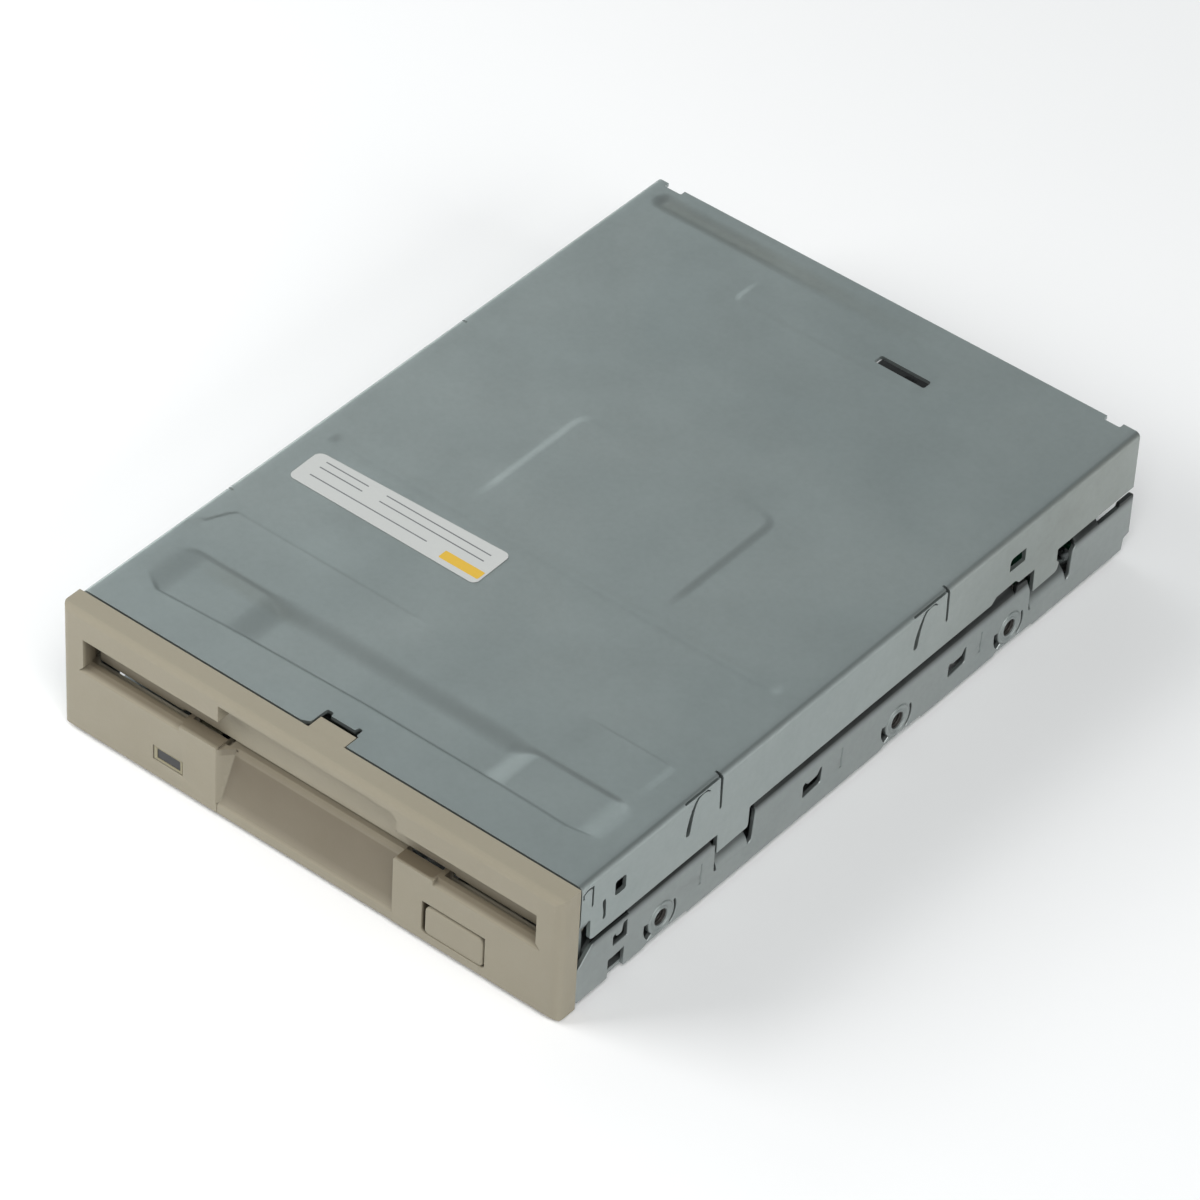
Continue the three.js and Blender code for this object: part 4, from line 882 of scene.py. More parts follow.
# ---------------------------------------------------------------- bezel
def along_x(profile, xs_, grow=None):
    """Sections of a (y, z) profile at each x; grow gives each section's scale about the profile's first point."""
    out = []
    for i, x in enumerate(xs_):
        k = 1.0 if grow is None else grow[i]
        y0, z0 = profile[0]
        out.append([(x, y0 + (y - y0) * k, z0 + (z - z0) * k) for y, z in profile])
    return out


bz = NODES["front_bezel"].data.copy()
tidy(bz)
fill = Shell().loft(along_x([(0.0, 1.6), (4.3, 1.6), (4.3, 14.2), (0.0, 14.2)], [-18.9, 18.6]))
fill.loft(along_x([(0.0, 13.2), (2.9, 13.2), (2.9, 20.9), (0.0, 20.9)], [-48.3, -46.0]))
fill.loft(along_x([(0.0, 13.2), (2.9, 13.2), (2.9, 20.9), (0.0, 20.9)], [46.0, 48.3]))
fill.loft(along_x([(0.0, 20.1), (2.95, 20.1), (2.95, 23.9), (0.0, 23.9)], [13.5, 18.4]))
bz = carve(bz, [fill], op="UNION")
scoop = [(-1, 2.3), (0.1, 2.65), (0.45, 3.2), (0.64, 4.2), (1.0, 6.4), (1.45, 9.0), (1.85, 11.4), (2.10, 12.9), (2.2, 13.3), (2.28, 13.55), (2.42, 13.75), (2.80, 14.3), (2.98, 14.48), (3.1, 14.58), (6, 14.6), (6, 15.6), (-1, 15.6)]
scoop_sections = []
for t in (0.0, 0.45, 0.64, 1.0, 1.45, 1.85, 2.10, 2.28, 2.42, 2.98, 3.1):       # its left side is a flat facet at 45 degrees
    scoop_sections.append([(-18.25 + 0.92 * t, min(y, t) if y < 5 else y - 0.0, z) for y, z in scoop] if t > 3.05 else
                          [(-18.25 + 0.92 * t, min(y, t), z) for y, z in scoop])
scoop_sections.append([(18.0, y, z) for y, z in scoop])
tools = [
    Shell().loft(scoop_sections),
    Shell().loft(along_x([(2.2, 13.3), (6, 13.3), (6, 15), (2.2, 15)], [-18.2, -17.3])),
    Shell().loft(along_x([(-1, -1), (0.12, -1), (0.12, 2.9), (-1, 2.9)], [-18.1, 17.8])),
]
# upper finger relief: sharp left end, its right end rounded off
gx = [-17.8] + [16.7 + 1.7 * math.sin(math.pi / 2 * i / 10) for i in range(11)]
gk = [1.0] + [max(0.03, math.cos(math.pi / 2 * i / 10)) for i in range(11)]
relief = []
for x, k in zip(gx, gk):
    d = k ** 0.55
    relief.append([(x, -1, 20.0), (x, 2.95 * d, 20.0), (x, 2.85 * d, 20.9), (x, 1.65 * d, 22.1 - 0.5 * (1 - k)), (x, 0.12 * d, 23.5 - 1.5 * (1 - k)), (x, -1, 23.6 - 1.5 * (1 - k))])
tools.append(Shell().loft(relief))
# mitred mouth of the slot at both ends, and the groove that the flap hangs into
for s in (-1, 1):
    mouth = []
    for y, x1, z0 in ((-1.0, 47.9, 12.75), (0.0, 47.1, 13.52), (1.4, 46.01, 14.59), (3.0, 46.01, 14.59)):
        e = 46.12 if y <= 0 else 46.0
        mouth.append([(s * 25.9, y, z0), (s * x1, y, z0), (s * e, y, 14.6), (s * e, y, 20.4), (s * 25.9, y, 20.4)])
    tools.append(Shell().loft(mouth))
    xa, xb = sorted((s * 26.4, s * 46.4))
    tools.append(Shell().loft(along_x([(2.15, 12.6), (6, 12.6), (6, 15), (2.15, 15)], [xa, xb])))
    xa, xb = sorted((s * 18.2, s * 25.5))
    tools.append(Shell().loft(along_x([(2.88, 12.6), (6, 12.6), (6, 15), (2.88, 15)], [xa, xb])))
# button opening with sharp upper corners
tools.append(Shell().loft([[(x, y, z) for x, z in ((23.9, 5.0), (36.5, 5.0), (36.5, 9.2), (23.9, 9.2))] for y in (-1, 6)]))
# large soft radii at the front's upper edge and at its two upright edges
arc = [(1.7 - 1.7 * math.cos(math.radians(a)), 25.45 - 1.25 + 1.25 * math.sin(math.radians(a))) for a in range(0, 91, 10)]
tools.append(Shell().loft(along_x([(-1, 24.2)] + arc + [(1.7, 27), (-1, 27)], [-52, 52])))
for s in (-1, 1):
    arc = [(s * (50.8 - 1.75 + 1.75 * math.sin(math.radians(a))), 1.65 - 1.65 * math.cos(math.radians(a))) for a in range(0, 91, 10)]
    shape = [(s * 49.05, -1)] + arc + [(s * 52, 1.65), (s * 52, -1)]
    tools.append(Shell().loft([[(x, y, z) for x, y in shape] for z in (-1, 27)]))
bz = carve(bz, tools)
tidy(bz, 0.4, 0.01, back=(4.5 - 74.4) * MM, parts=(-28.3, 0.0, 30.2))
shade(bz, 32)
# the bezel's recess, slot mouth and openings carry painted shade
bezel = piece("bezel_moulding", bz, "chassis", "front_bezel", [MAT["beige_painted_shade"]])
bevel(bezel, 0.3, 3, 16)

# dust flap with rounded lower corners, stiffening edge and axis pins
s = Shell()
s.plate("y", fillet([(-45.5, 14.4, 0.8), (-27.6, 14.4, 0.15), (-27.6, 14.8, 0.15), (27.6, 14.8, 0.15), (27.6, 14.4, 0.15), (45.5, 14.4, 0.8), (45.5, 22.2, 0.3), (-45.5, 22.2, 0.3)], 0.3, 6), 3.15, 4.3, bevel=0.28)
s.tube([(-45.5, 3.75, 22.0), (45.5, 3.75, 22.0)], 0.85, 16)
s.tube([(-46.5, 3.75, 22.0), (46.5, 3.75, 22.0)], 0.55, 12)
piece("dust_flap", shade(outward(s.mesh("dust_flap")), 35), "flap", "slot_flap", [MAT["beige_flap"]])

# eject button: crowned face with rounded corners, stem behind
s = Shell()
sections = []
for d, y in ((0.46, 0.05), (0.26, 0.07), (0.11, 0.14), (0.03, 0.27), (0.0, 0.45), (0.0, 2.6)):
    f = fillet([(24.50 + d, 2.74 + d, 0.75 - d), (36.08 - d, 2.74 + d, 0.75 - d), (36.08 - d, 8.47 - d, 1.15 - d), (24.50 + d, 8.47 - d, 1.15 - d)], 0.6, 6)
    sections.append([(p[0], y, p[1]) for p in f])
s.loft(sections)
s.plate("y", rect(26.0, 34.6, 3.6, 8.2, 0.5), 2.5, 12.0, bevel=0.15)
s.plate("y", rect(28.6, 33.4, 4.4, 7.6, 0.4), 11.9, 14.8, bevel=0.15)
s.plate("y", rect(29.7, 31.1, 5.6, 7.1, 0.3), 14.7, 17.2, bevel=0.15)
piece("button_cap", shade(outward(s.mesh("button_cap")), 30), "slider", "eject_button", [MAT["beige_plastic"]])

# lamp: clear moulding with a smoked window
s = Shell()
s.plate("y", rect(-31.25, -25.25, 4.55, 7.25, 0.15), 0.10, 1.2, [rect(-30.55, -25.75, 4.98, 6.98, 0.1)], 0.06)
s.plate("y", rect(-31.1, -25.4, 4.7, 7.1, 0.15), 1.1, 8.0, bevel=0.1)
s.plate("y", rect(-31.6, -24.9, 4.2, 7.6, 0.3), 8.0, 9.2, bevel=0.1)
s.plate("y", rect(-30.62, -25.68, 4.9, 7.05, 0.08), 0.24, 1.15, bevel=0.08, mat=1)
piece("lamp_lens", shade(outward(s.mesh("lamp_lens")), 30), "chassis", "led_lens", [MAT["lens_rim"], MAT["lens_window"]])

# label: plain white with a colour block and a few rules
s = Shell()
s.plate("z", fillet([(-45.1, 47.05, 1.2), (-5.72, 46.8, 1.2), (-5.9, 56.1, 1.2), (-45.3, 54.95, 1.5)], 1.2, 6), 25.21, 25.325, bevel=0.03)
s.plate("z", rect(-14.3, -6.2, 48.0, 50.0, 0.25), 25.31, 25.345, bevel=0.008, mat=1)
for y, x0, x1 in ((52.0, -30.0, -8.2), (53.8, -30.0, -8.2), (52.0, -42.6, -33.6), (53.6, -42.6, -33.6), (49.6, -42.6, -18.0)):
    s.plate("z", rect(x0, x1, y - 0.13, y + 0.13, 0.05), 25.31, 25.34, bevel=0.008, mat=2)
piece("plain_label", shade(outward(s.mesh("plain_label")), 30), "chassis", "cover_label", [MAT["label_paper"], MAT["label_yellow"], MAT["label_grey"]])

# ---------------------------------------------------------------- folded frame
HOLE_Y = [25.2, 85.2, 115.2]
HZ = 4.75
low = [(4.8, 1.0, 0.6), (12.5, 1.0, 0.3), (12.5, 4.7, 0.2), (13.6, 4.7, 0.2), (16.4, 5.0, 0.15), (16.3, 0.95, 0.3)]
for y in HOLE_Y:
    low += [(y - 3.9, 0.95, 0.25), (y - 3.3, 1.42, 0.3), (y + 2.4, 1.42, 0.3), (y + 3.2, 1.3, 0.3), (y + 6.4, 1.3, 0.3), (y + 6.8, 0.95, 0.2)]
low += [(147.0, 0.95, 0.3), (147.3, 3.3, 0.5), (148.8, 3.7, 0.3)]
high = [(148.8, 12.3, 0.7), (144.9, 12.3, 0.4), (144.6, 11.6, 0.3), (139.3, 11.6, 0.2), (139.0, 11.3, 0.1), (132.6, 11.3, 0.4), (131.9, 10.3, 0.7), (131.6, 4.9, 0.9), (120.5, 4.9, 0.35), (120.3, 9.4, 0.6), (119.0, 12.7, 1.2),
        (116.4, 13.0, 0.5), (115.9, 11.3, 0.2), (48.2, 11.3, 0.3), (47.6, 4.9, 0.9), (38.3, 4.9, 0.3), (38.2, 10.7, 0.5), (37.0, 11.3, 0.3), (17.0, 11.3, 0.2), (11.2, 11.5, 0.5),
        (8.3, 11.3, 0.9), (4.8, 7.9, 0.3)]
holes = [
    fillet([(13.5, 7.1, 0.2), (16.9, 7.1, 0.2), (16.9, 10.4, 0.2), (15.9, 10.3, 0.3), (15.6, 8.7, 0.6), (14.3, 8.4, 0.6), (14.1, 9.4, 0.3), (13.5, 9.0, 0.2)], 0.2),
    fillet([(60.6, 4.9, 0.3), (65.2, 5.3, 0.6), (65.4, 8.5, 0.15), (64.9, 8.4, 0.2), (64.2, 7.4, 0.9), (61.7, 7.1, 0.5), (61.2, 7.9, 0.3), (60.6, 7.4, 0.2)], 0.3),
    fillet([(98.6, 4.9, 0.3), (103.1, 5.3, 0.6), (103.3, 8.5, 0.15), (102.8, 8.4, 0.2), (102.1, 7.4, 0.9), (99.6, 7.1, 0.5), (99.1, 7.7, 0.3), (98.6, 7.2, 0.2)], 0.3),
]
for y in HOLE_Y:
    holes.append([(y + r * math.cos(math.radians(a)), HZ + r * math.sin(math.radians(a))) for r, a in
                  [(2.95, a) for a in range(226, 529, 9)] + [(2.95, 528)] + [(4.1, a) for a in range(168, 227, 6)]])
    holes.append(ribbon([(y + 3.62 * math.cos(math.radians(a)), HZ + 3.62 * math.sin(math.radians(a))) for a in range(-46, 21, 6)], 0.52))
sheet = Shell().plate("x", fillet(low + high, 0.3), 49.8, 50.6, holes, 0.1)
crease = Shell()
for y in (34.9, 70.4, 107.2):
    crease.loft([[(50.95, y - 1.5, 4.6), (50.95, y + 0.5, 4.6), (50.42, y + 0.1, 4.9)], [(50.95, y - 0.9, 6.4), (50.95, y + 0.5, 6.4), (50.30, y + 0.1, 6.3)], [(50.95, y - 0.35, 9.1), (50.95, y + 0.5, 9.1), (50.3, y + 0.15, 8.9)]])
sheet_me = carve(outward(sheet.mesh("sheet")), [crease], "MANIFOLD")
wall = Shell()
# ring bosses round the side holes: rolled rim, shallow dish, raised lip at the thread
for y in HOLE_Y:
    wall.lathe("x", [(2.97, 49.85), (2.97, 50.48), (2.92, 50.60), (2.80, 50.70), (2.62, 50.76), (2.44, 50.72), (2.30, 50.60), (2.16, 50.50), (2.0, 50.48), (1.9, 50.55), (1.8, 50.64), (1.68, 50.68), (1.56, 50.64), (1.50, 50.5),
                     (1.50, 49.85), (2.1, 49.7), (2.5, 49.85)], y, HZ, 44)
    # bore and thread rings carry the near-black painted shade
    wall.lathe("x", [(1.52, 50.45), (1.44, 50.35), (1.36, 50.2), (1.36, 48.45), (1.75, 48.4), (2.05, 48.6), (2.1, 49.8), (1.6, 49.9)], y, HZ, 40, mat=1)
    for k in range(4):
        wall.lathe("x", [(1.37, 50.15 - 0.45 * k), (1.24, 50.05 - 0.45 * k), (1.37, 49.95 - 0.45 * k)], y, HZ, 30, mat=1)


def rolled_lip(y0, y1):
    """Strip of the wall that is rolled inwards, where the cover's tab goes in."""
    out = [(50.6, 4.62), (50.58, 5.2), (50.45, 5.85), (50.2, 6.45), (49.85, 7.0), (49.4, 7.5), (48.9, 7.85)]
    inn = [(48.62, 7.2), (49.05, 6.85), (49.4, 6.4), (49.65, 5.85), (49.78, 5.2), (49.8, 4.62)]
    sec = []
    for k in range(9):
        t = k / 8
        e = 0.25 * (1 - min(1, 8 * min(t, 1 - t)))
        sec.append([(x - e * (z - 4.6) / 3.2, y0 + (y1 - y0) * t, z) for x, z in out + inn])
    return sec


wall.loft(rolled_lip(38.9, 46.6))
wall.loft(rolled_lip(120.9, 130.6))
# upper rim of the wall, set inwards so that the cover's flange stands over it
for ya, yb in ((17.1, 37.3), (48.1, 115.9), (132.5, 139.05)):
    rim_o = [(50.6, 10.8), (50.59, 11.2), (50.52, 11.6), (50.38, 11.95), (50.16, 12.25), (49.94, 12.5), (49.8, 12.8), (49.74, 13.1), (49.72, 13.35)]
    rim_i = [(49.3, 13.35), (49.3, 13.0), (49.32, 12.6), (49.38, 12.2), (49.55, 11.9), (49.7, 11.6), (49.78, 11.3), (49.8, 10.8)]
    sec = []
    for t, e in ((0.0, 0.28), (0.12, 0.09), (0.3, 0.0), ((yb - ya) / 2, 0.0), (yb - ya - 0.3, 0.0), (yb - ya - 0.12, 0.09), (yb - ya, 0.28)):
        sec.append([(x - e * (0.25 if z < 11.4 else 1.0), ya + t, z - (e * 1.2 if z > 13 else 0)) for x, z in rim_o + rim_i])
    wall.loft(sec)
# small wings that close the fold at the front
wall.plate("x", fillet([(7.4, 8.4, 0.4), (12.8, 8.4, 0.4), (12.8, 11.3, 0.4), (9.0, 11.2, 0.6), (7.4, 9.8, 0.4)], 0.3), 49.05, 49.85, bevel=0.1)
# tabs for the eject springs, ears that guide the holder's pins
wall.plate("y", fillet([(48.35, 19.0), (49.9, 19.0), (49.9, 11.0), (48.4, 11.0)], 0.1), 27.95, 28.75, bevel=0.1)
wall.plate("x", rect(27.9, 29.6, 10.9, 23.8, 0.35), 48.4, 49.2, bevel=0.12)
wall.plate("y", fillet([(42.9, 22.5, 0.5), (49.15, 22.5, 0.1), (49.15, 23.8, 0.1), (42.9, 23.8, 0.6)], 0.2), 28.8, 29.6, bevel=0.12)
for y in (26.0, 84.0):
    wall.plate("x", fillet([(y - 3.6, 9.4), (y + 3.6, 9.4), (y + 3.6, 19.8), (y - 3.6, 19.8)], 0.7), 48.4, 49.2, [rect(y - 1.35, y + 1.35, 13.3, 18.5, 0.6)], 0.12)
    wall.plate("x", rect(y - 3.6, y + 3.6, 9.45, 11.35, 0.3), 49.1, 49.85, bevel=0.1)
wall_me = outward(wall.mesh("wall"))
base = Shell()
base_holes = [
    rect(42.8, 48.4, 100, 110, 0.9), rect(-48.4, -42.8, 100, 110, 0.9), rect(-36, 38, 117, 142, 2), rect(-9, 9, 86, 110, 1.5), ring(0, 56.5, 9, 48),
    rect(36, 41, 36, 76, 1), rect(-41, -36, 36, 76, 1), rect(-20, -2, 12, 20, 1), rect(2, 20, 12, 20, 1),
]
for x in (-45, 45):
    for y in (25.2, 115.2):
        base_holes.append(ring(x, y, 2.9, 32))
base.plate("z", fillet([(-49.9, 10), (-49.9, 146.4), (49.9, 146.4), (49.9, 10), (44, 8), (-44, 8)], 1.0), 0.9, 1.7, base_holes, 0.1)
for x in (-45, 45):
    for y in (25.2, 115.2):
        base.lathe("z", [(1.3, 3.2), (1.3, 0.22), (1.42, 0.06), (1.65, 0.0), (2.75, 0.0), (3.0, 0.1), (3.12, 0.35), (3.2, 0.95), (3.2, 1.7), (2.5, 1.7), (2.1, 1.9), (2.0, 3.1), (1.8, 3.2)], x, y, 40)
        for k in range(5):
            base.lathe("z", [(1.31, 0.55 + 0.5 * k), (1.2, 0.65 + 0.5 * k), (1.31, 0.75 + 0.5 * k)], x, y, 24)
# stiffening ribs pressed along the floor
for x in (-27, 27):
    base.loft([[(x - 1.6, 86 + a, 0.95), (x - 1.1, 86 + a, 0.95 - 0.38 * k), (x + 1.1, 86 + a, 0.95 - 0.38 * k), (x + 1.6, 86 + a, 0.95), (x + 1.6, 86 + a, 1.2), (x - 1.6, 86 + a, 1.2)] for a, k in ((0, 0.02), (1.5, 1), (24.5, 1), (26, 0.02))])
base.loft([[(-30 + a, 23.4, 0.95), (-30 + a, 23.9, 0.95 - 0.38 * k), (-30 + a, 26.1, 0.95 - 0.38 * k), (-30 + a, 26.6, 0.95), (-30 + a, 26.6, 1.2), (-30 + a, 23.4, 1.2)] for a, k in ((0, 0.02), (1.5, 1), (58.5, 1), (60, 0.02))])
base_me = outward(base.mesh("base"))
bm = bmesh.new()
bm.from_mesh(sheet_me)
bm.from_mesh(wall_me)
bmesh.ops.scale(bm, vec=(-1, 1, 1), verts=bm.verts)
bmesh.ops.reverse_faces(bm, faces=bm.faces)
bm.from_mesh(sheet_me)
bm.from_mesh(wall_me)
bm.from_mesh(base_me)
# folds between floor and walls
fold = Shell()
for ya, yb in ((16.6, 21.0), (32.2, 81.0), (92.2, 111.0), (122.2, 146.3)):
    arc_o = [(49.6 + 1.0 * math.cos(math.radians(a)), 1.9 + 1.0 * math.sin(math.radians(a))) for a in range(0, -91, -15)]
    arc_i = [(49.6 + 0.2 * math.cos(math.radians(a)), 1.9 + 0.2 * math.sin(math.radians(a))) for a in range(-90, 1, 15)]
    fold.loft([[(x, ya, z) for x, z in arc_o + arc_i], [(x, yb, z) for x, z in arc_o + arc_i]])
fold.mirror_x()
bm.from_mesh(outward(fold.mesh("fold")))
frame_me = bpy.data.meshes.new("folded_frame")
bm.to_mesh(frame_me)
bm.free()
shade(frame_me, 33)
piece("folded_frame", frame_me, "chassis", "chassis_frame", [MAT["zinc_frame"], MAT["bore_painted_shade"]])
# ---------------------------------------------------------------- materials of the inner parts
def bands(m, value, pitch, share):
    """1 on a stripe of the given share of each pitch, 0 between, with soft sides."""
    w = m.math("FRACT", m.math("MULTIPLY", value, 1.0 / pitch))
    return m.math("MULTIPLY", m.span(w, 0.08, 0.16), m.span(w, share + 0.08, share, 0, 1))


def printed_board(name, a, b):
    m = Nodes(name)
    sep = m.n.new("ShaderNodeSeparateXYZ")
    m.l.new(m.co, sep.inputs[0])
    x, y, z = sep.outputs
    zone = m.voronoi(95, out="Color")
    zs = m.n.new("ShaderNodeSeparateColor")
    m.l.new(zone, zs.inputs[0])
    turn_ = m.span(zs.outputs[0], 0.49, 0.51)
    along_, across = bands(m, x, 0.0013, 0.42), bands(m, y, 0.0013, 0.42)
    lines_ = m.math("ADD", m.math("MULTIPLY", turn_, along_), m.math("MULTIPLY", m.math("SUBTRACT", 1.0, turn_), across))
    lines_ = m.math("MULTIPLY", lines_, m.span(zs.outputs[1], 0.30, 0.34))
    colour = m.mix(lines_, a, b)
    colour = m.mix(m.math("MULTIPLY", m.span(m.noise(40, 4, 0.6), 0.35, 0.7), 0.3), colour, tuple(c * 0.6 for c in a))
    m.put("Base Color", colour)
    m.put("Roughness", m.span(m.noise(300, 3, 0.6), 0.3, 0.7, 0.26, 0.36))
    m.put("Normal", m.bump(lines_, 0.00004))
    return m.mat


def flat_flex(name, pitch):
    m = Nodes(name)
    sep = m.n.new("ShaderNodeSeparateXYZ")
    m.l.new(m.co, sep.inputs[0])
    strip = bands(m, sep.outputs[0], pitch, 0.55)
    colour = m.mix(strip, (0.40, 0.15, 0.02), (0.30, 0.085, 0.012))
    m.put("Base Color", m.mix(m.span(m.noise(80, 3, 0.6), 0.3, 0.7, 0, 0.35), colour, (0.46, 0.20, 0.04)))
    m.put("Roughness", m.span(m.noise(200, 3, 0.6), 0.3, 0.7, 0.22, 0.34))
    m.put("Normal", m.bump(strip, 0.00003))
    return m.mat


MAT["circuit_board"] = printed_board("circuit_board_traces", (0.010, 0.075, 0.036), (0.022, 0.130, 0.062))
MAT["tin"] = zinc_steel("tin_solder", (0.62, 0.62, 0.60), (0.50, 0.50, 0.49), (0.22, 0.34), 0.95)
MAT["chip_body"] = moulded("chip_body", (0.022, 0.022, 0.023), (0.032, 0.032, 0.033), 0.5, 1800, 0.00002)
MAT["flex_head"] = flat_flex("polyimide_flex", 0.0010)
MAT["winding_wire"] = zinc_steel("enamelled_copper", (0.50, 0.17, 0.06), (0.38, 0.11, 0.04), (0.2, 0.3), 0.85, (1, 1, 14), 0.00003)
MAT["lamination"] = zinc_steel("lamination_steel", (0.22, 0.225, 0.23), (0.17, 0.175, 0.18), (0.35, 0.5), 0.85, (1, 1, 20), 0.00002)
MAT["slot_dark"] = moulded("recess_shadow", (0.05, 0.05, 0.05), (0.07, 0.07, 0.07), 0.6)


def add(name, s, body, node, mats, angle=32):
    return piece(name, shade(outward(s.mesh(name)), angle), body, node, mats)


def coil_path(axis, r, a, b, u, v, turns, steps=14, lead=0.0):
    """Helix about an axis through (u, v), its first and last turn closed up."""
    out = []
    total = int(turns * steps)
    for i in range(total + 1):
        t = i / total
        ang = 2 * math.pi * turns * t
        w = a + (b - a) * t
        if lead:
            edge = 1.0 / turns
            if t < edge:
                w = a + (b - a) * edge * 0.55 * (t / edge)
            elif t > 1 - edge:
                w = b - (b - a) * edge * 0.55 * ((1 - t) / edge)
            else:
                w = a + (b - a) * (edge * 0.55 + (1 - 1.1 * edge) * (t - edge) / (1 - 2 * edge))
        p, q = u + r * math.cos(ang), v + r * math.sin(ang)
        out.append({"x": (w, p, q), "y": (p, w, q), "z": (p, q, w)}[axis])
    return out


# ---------------------------------------------------------------- disk holder
def stadium(ya, za, yb, zb, r, n=8):
    d = Vector((yb - ya, zb - za)).normalized()
    a0 = math.atan2(d.y, d.x)
    out = [(yb + r * math.cos(a0 - math.pi / 2 + math.pi * i / n), zb + r * math.sin(a0 - math.pi / 2 + math.pi * i / n)) for i in range(n + 1)]
    out += [(ya + r * math.cos(a0 + math.pi / 2 + math.pi * i / n), za + r * math.sin(a0 + math.pi / 2 + math.pi * i / n)) for i in range(n + 1)]
    return out


s = Shell()
y0, y1 = 12.0, 104.0
corner = [(45.2, 20.6), (45.5, 20.6), (45.85, 20.5), (46.1, 20.25), (46.2, 19.9), (46.2, 19.5), (45.4, 19.5), (45.4, 19.7), (45.3, 19.85), (45.2, 19.9)]
s.loft([[(x, y0, z) for x, z in corner], [(x, y1, z) for x, z in corner]])
s.plate("x", fillet([(12.0, 15.3, 0.1), (104.0, 15.3, 0.1), (104.0, 19.6, 0.1), (12.0, 19.6, 0.1)], 0.1), 45.4, 46.2, bevel=0.08)
low_c = [(46.2, 15.4), (46.2, 15.2), (46.1, 14.85), (45.85, 14.65), (45.5, 14.6), (45.2, 14.6), (45.2, 15.2), (45.3, 15.22), (45.4, 15.3), (45.4, 15.4)]
s.loft([[(x, 14.0, z) for x, z in low_c], [(x, y1, z) for x, z in low_c]])
s.plate("z", fillet([(41.0, 14.0, 1.5), (45.3, 14.0, 0.1), (45.3, 104.0, 0.1), (41.0, 104.0, 0.6)], 0.3), 14.6, 15.2, bevel=0.1)
s.mirror_x()
s.plate("z", fillet([(-45.3, 12.0, 0.1), (45.3, 12.0, 0.1), (45.3, 103.4, 0.1), (22.0, 103.4, 0.1), (22.0, 74.0, 1.2), (-11.0, 74.0, 1.2), (-11.0, 103.4, 0.1), (-45.3, 103.4, 0.1)], 0.3), 19.9, 20.6,
        [rect(-30, 30, 20, 34, 3, 8), ring(-37, 60, 2.2, 28), ring(37, 60, 2.2, 28), rect(-34, -20, 84, 96, 2, 6)], 0.1)
s2 = Shell()
s2.plate("y", fillet([(24.0, 15.4, 0.5), (41.2, 15.4, 0.5), (41.2, 20.4, 0.1), (24.0, 20.4, 0.1)], 0.3), 103.3, 104.0, bevel=0.1)
s2.plate("y", fillet([(-45.6, 15.4, 0.5), (-14.0, 15.4, 0.5), (-14.0, 20.4, 0.1), (-45.6, 20.4, 0.1)], 0.3), 103.3, 104.0, bevel=0.1)
for y in (26.0, 84.0):
    for k in (-1, 1):
        pin = Shell().lathe("x", [(0, 45.6), (1.0, 45.6), (1.0, 49.1), (0.85, 49.3), (0, 49.3)], y, 17.0, 28)
        pin.lathe("x", [(0.9, 46.15), (1.6, 46.15), (1.6, 46.45), (1.5, 46.55), (0.9, 46.55)], y, 17.0, 28)
        if k < 0:
            pin.v = [(-a, b, c) for a, b, c in pin.v]
            pin.f = [f[::-1] for f in pin.f]
        s2.add(pin.v, pin.f, 1)
s2.lathe("z", [(0, 20.3), (1.0, 20.3), (1.0, 23.45), (1.75, 23.45), (1.9, 23.6), (1.75, 23.85), (1.3, 23.9), (0, 23.9)], 40, 100, 32, mat=1)
s.add(s2.v, s2.f)
s.m[-len(s2.f):] = s2.m
add("holder_cage", s, "holder", "media_holder", [MAT["zinc_plated_steel"], MAT["bright_steel"]])

# ---------------------------------------------------------------- eject slider with sloped slots
s = Shell()
side = fillet([(14, 11, 0.6), (95, 11, 1.2), (95, 20, 1.5), (82, 22, 1.5), (14, 22, 0.6)], 0.5, 6)
slots = [stadium(y, 17.0, y + 5.0, 14.8, 1.32, 10) for y in (26.0, 84.0)]
s.plate("x", side, 46.8, 47.6, slots + [stadium(45, 16.5, 60, 16.5, 1.6)], 0.1)
s.plate("z", rect(42.9, 47.5, 79.0, 81.0, 0.3), 21.25, 21.95, bevel=0.1)
s.plate("y", fillet([(42.9, 21.3, 0.1), (47.5, 21.3, 0.1), (47.5, 23.6, 0.8), (42.9, 23.6, 0.8)], 0.2), 79.9, 80.7, bevel=0.12)
s.mirror_x()
bridge = Shell().plate("z", rect(-47.5, 47.5, 14.0, 52.0, 1.5, 6), 21.2, 22.0, [rect(-36, -8, 22, 46, 2, 6), rect(8, 36, 22, 46, 2, 6), fillet([(-6, 14.6), (6, 14.6), (6, 20), (-6, 20)], 1.0)], 0.1)
bridge.plate("y", fillet([(28.6, 5.2, 0.6), (47.3, 5.2, 0.4), (47.3, 12.5, 0.4), (28.6, 12.5, 0.8)], 0.3), 15.2, 16.2, [rect(29.4, 31.4, 5.45, 7.4, 0.2)], 0.1)
bridge.plate("x", rect(14.0, 17.0, 5.2, 12.0, 0.3), 46.6, 47.55, bevel=0.1)
s.add(bridge.v, bridge.f)
add("slider_plate", s, "slider", "eject_slider", [MAT["bare_steel"]])

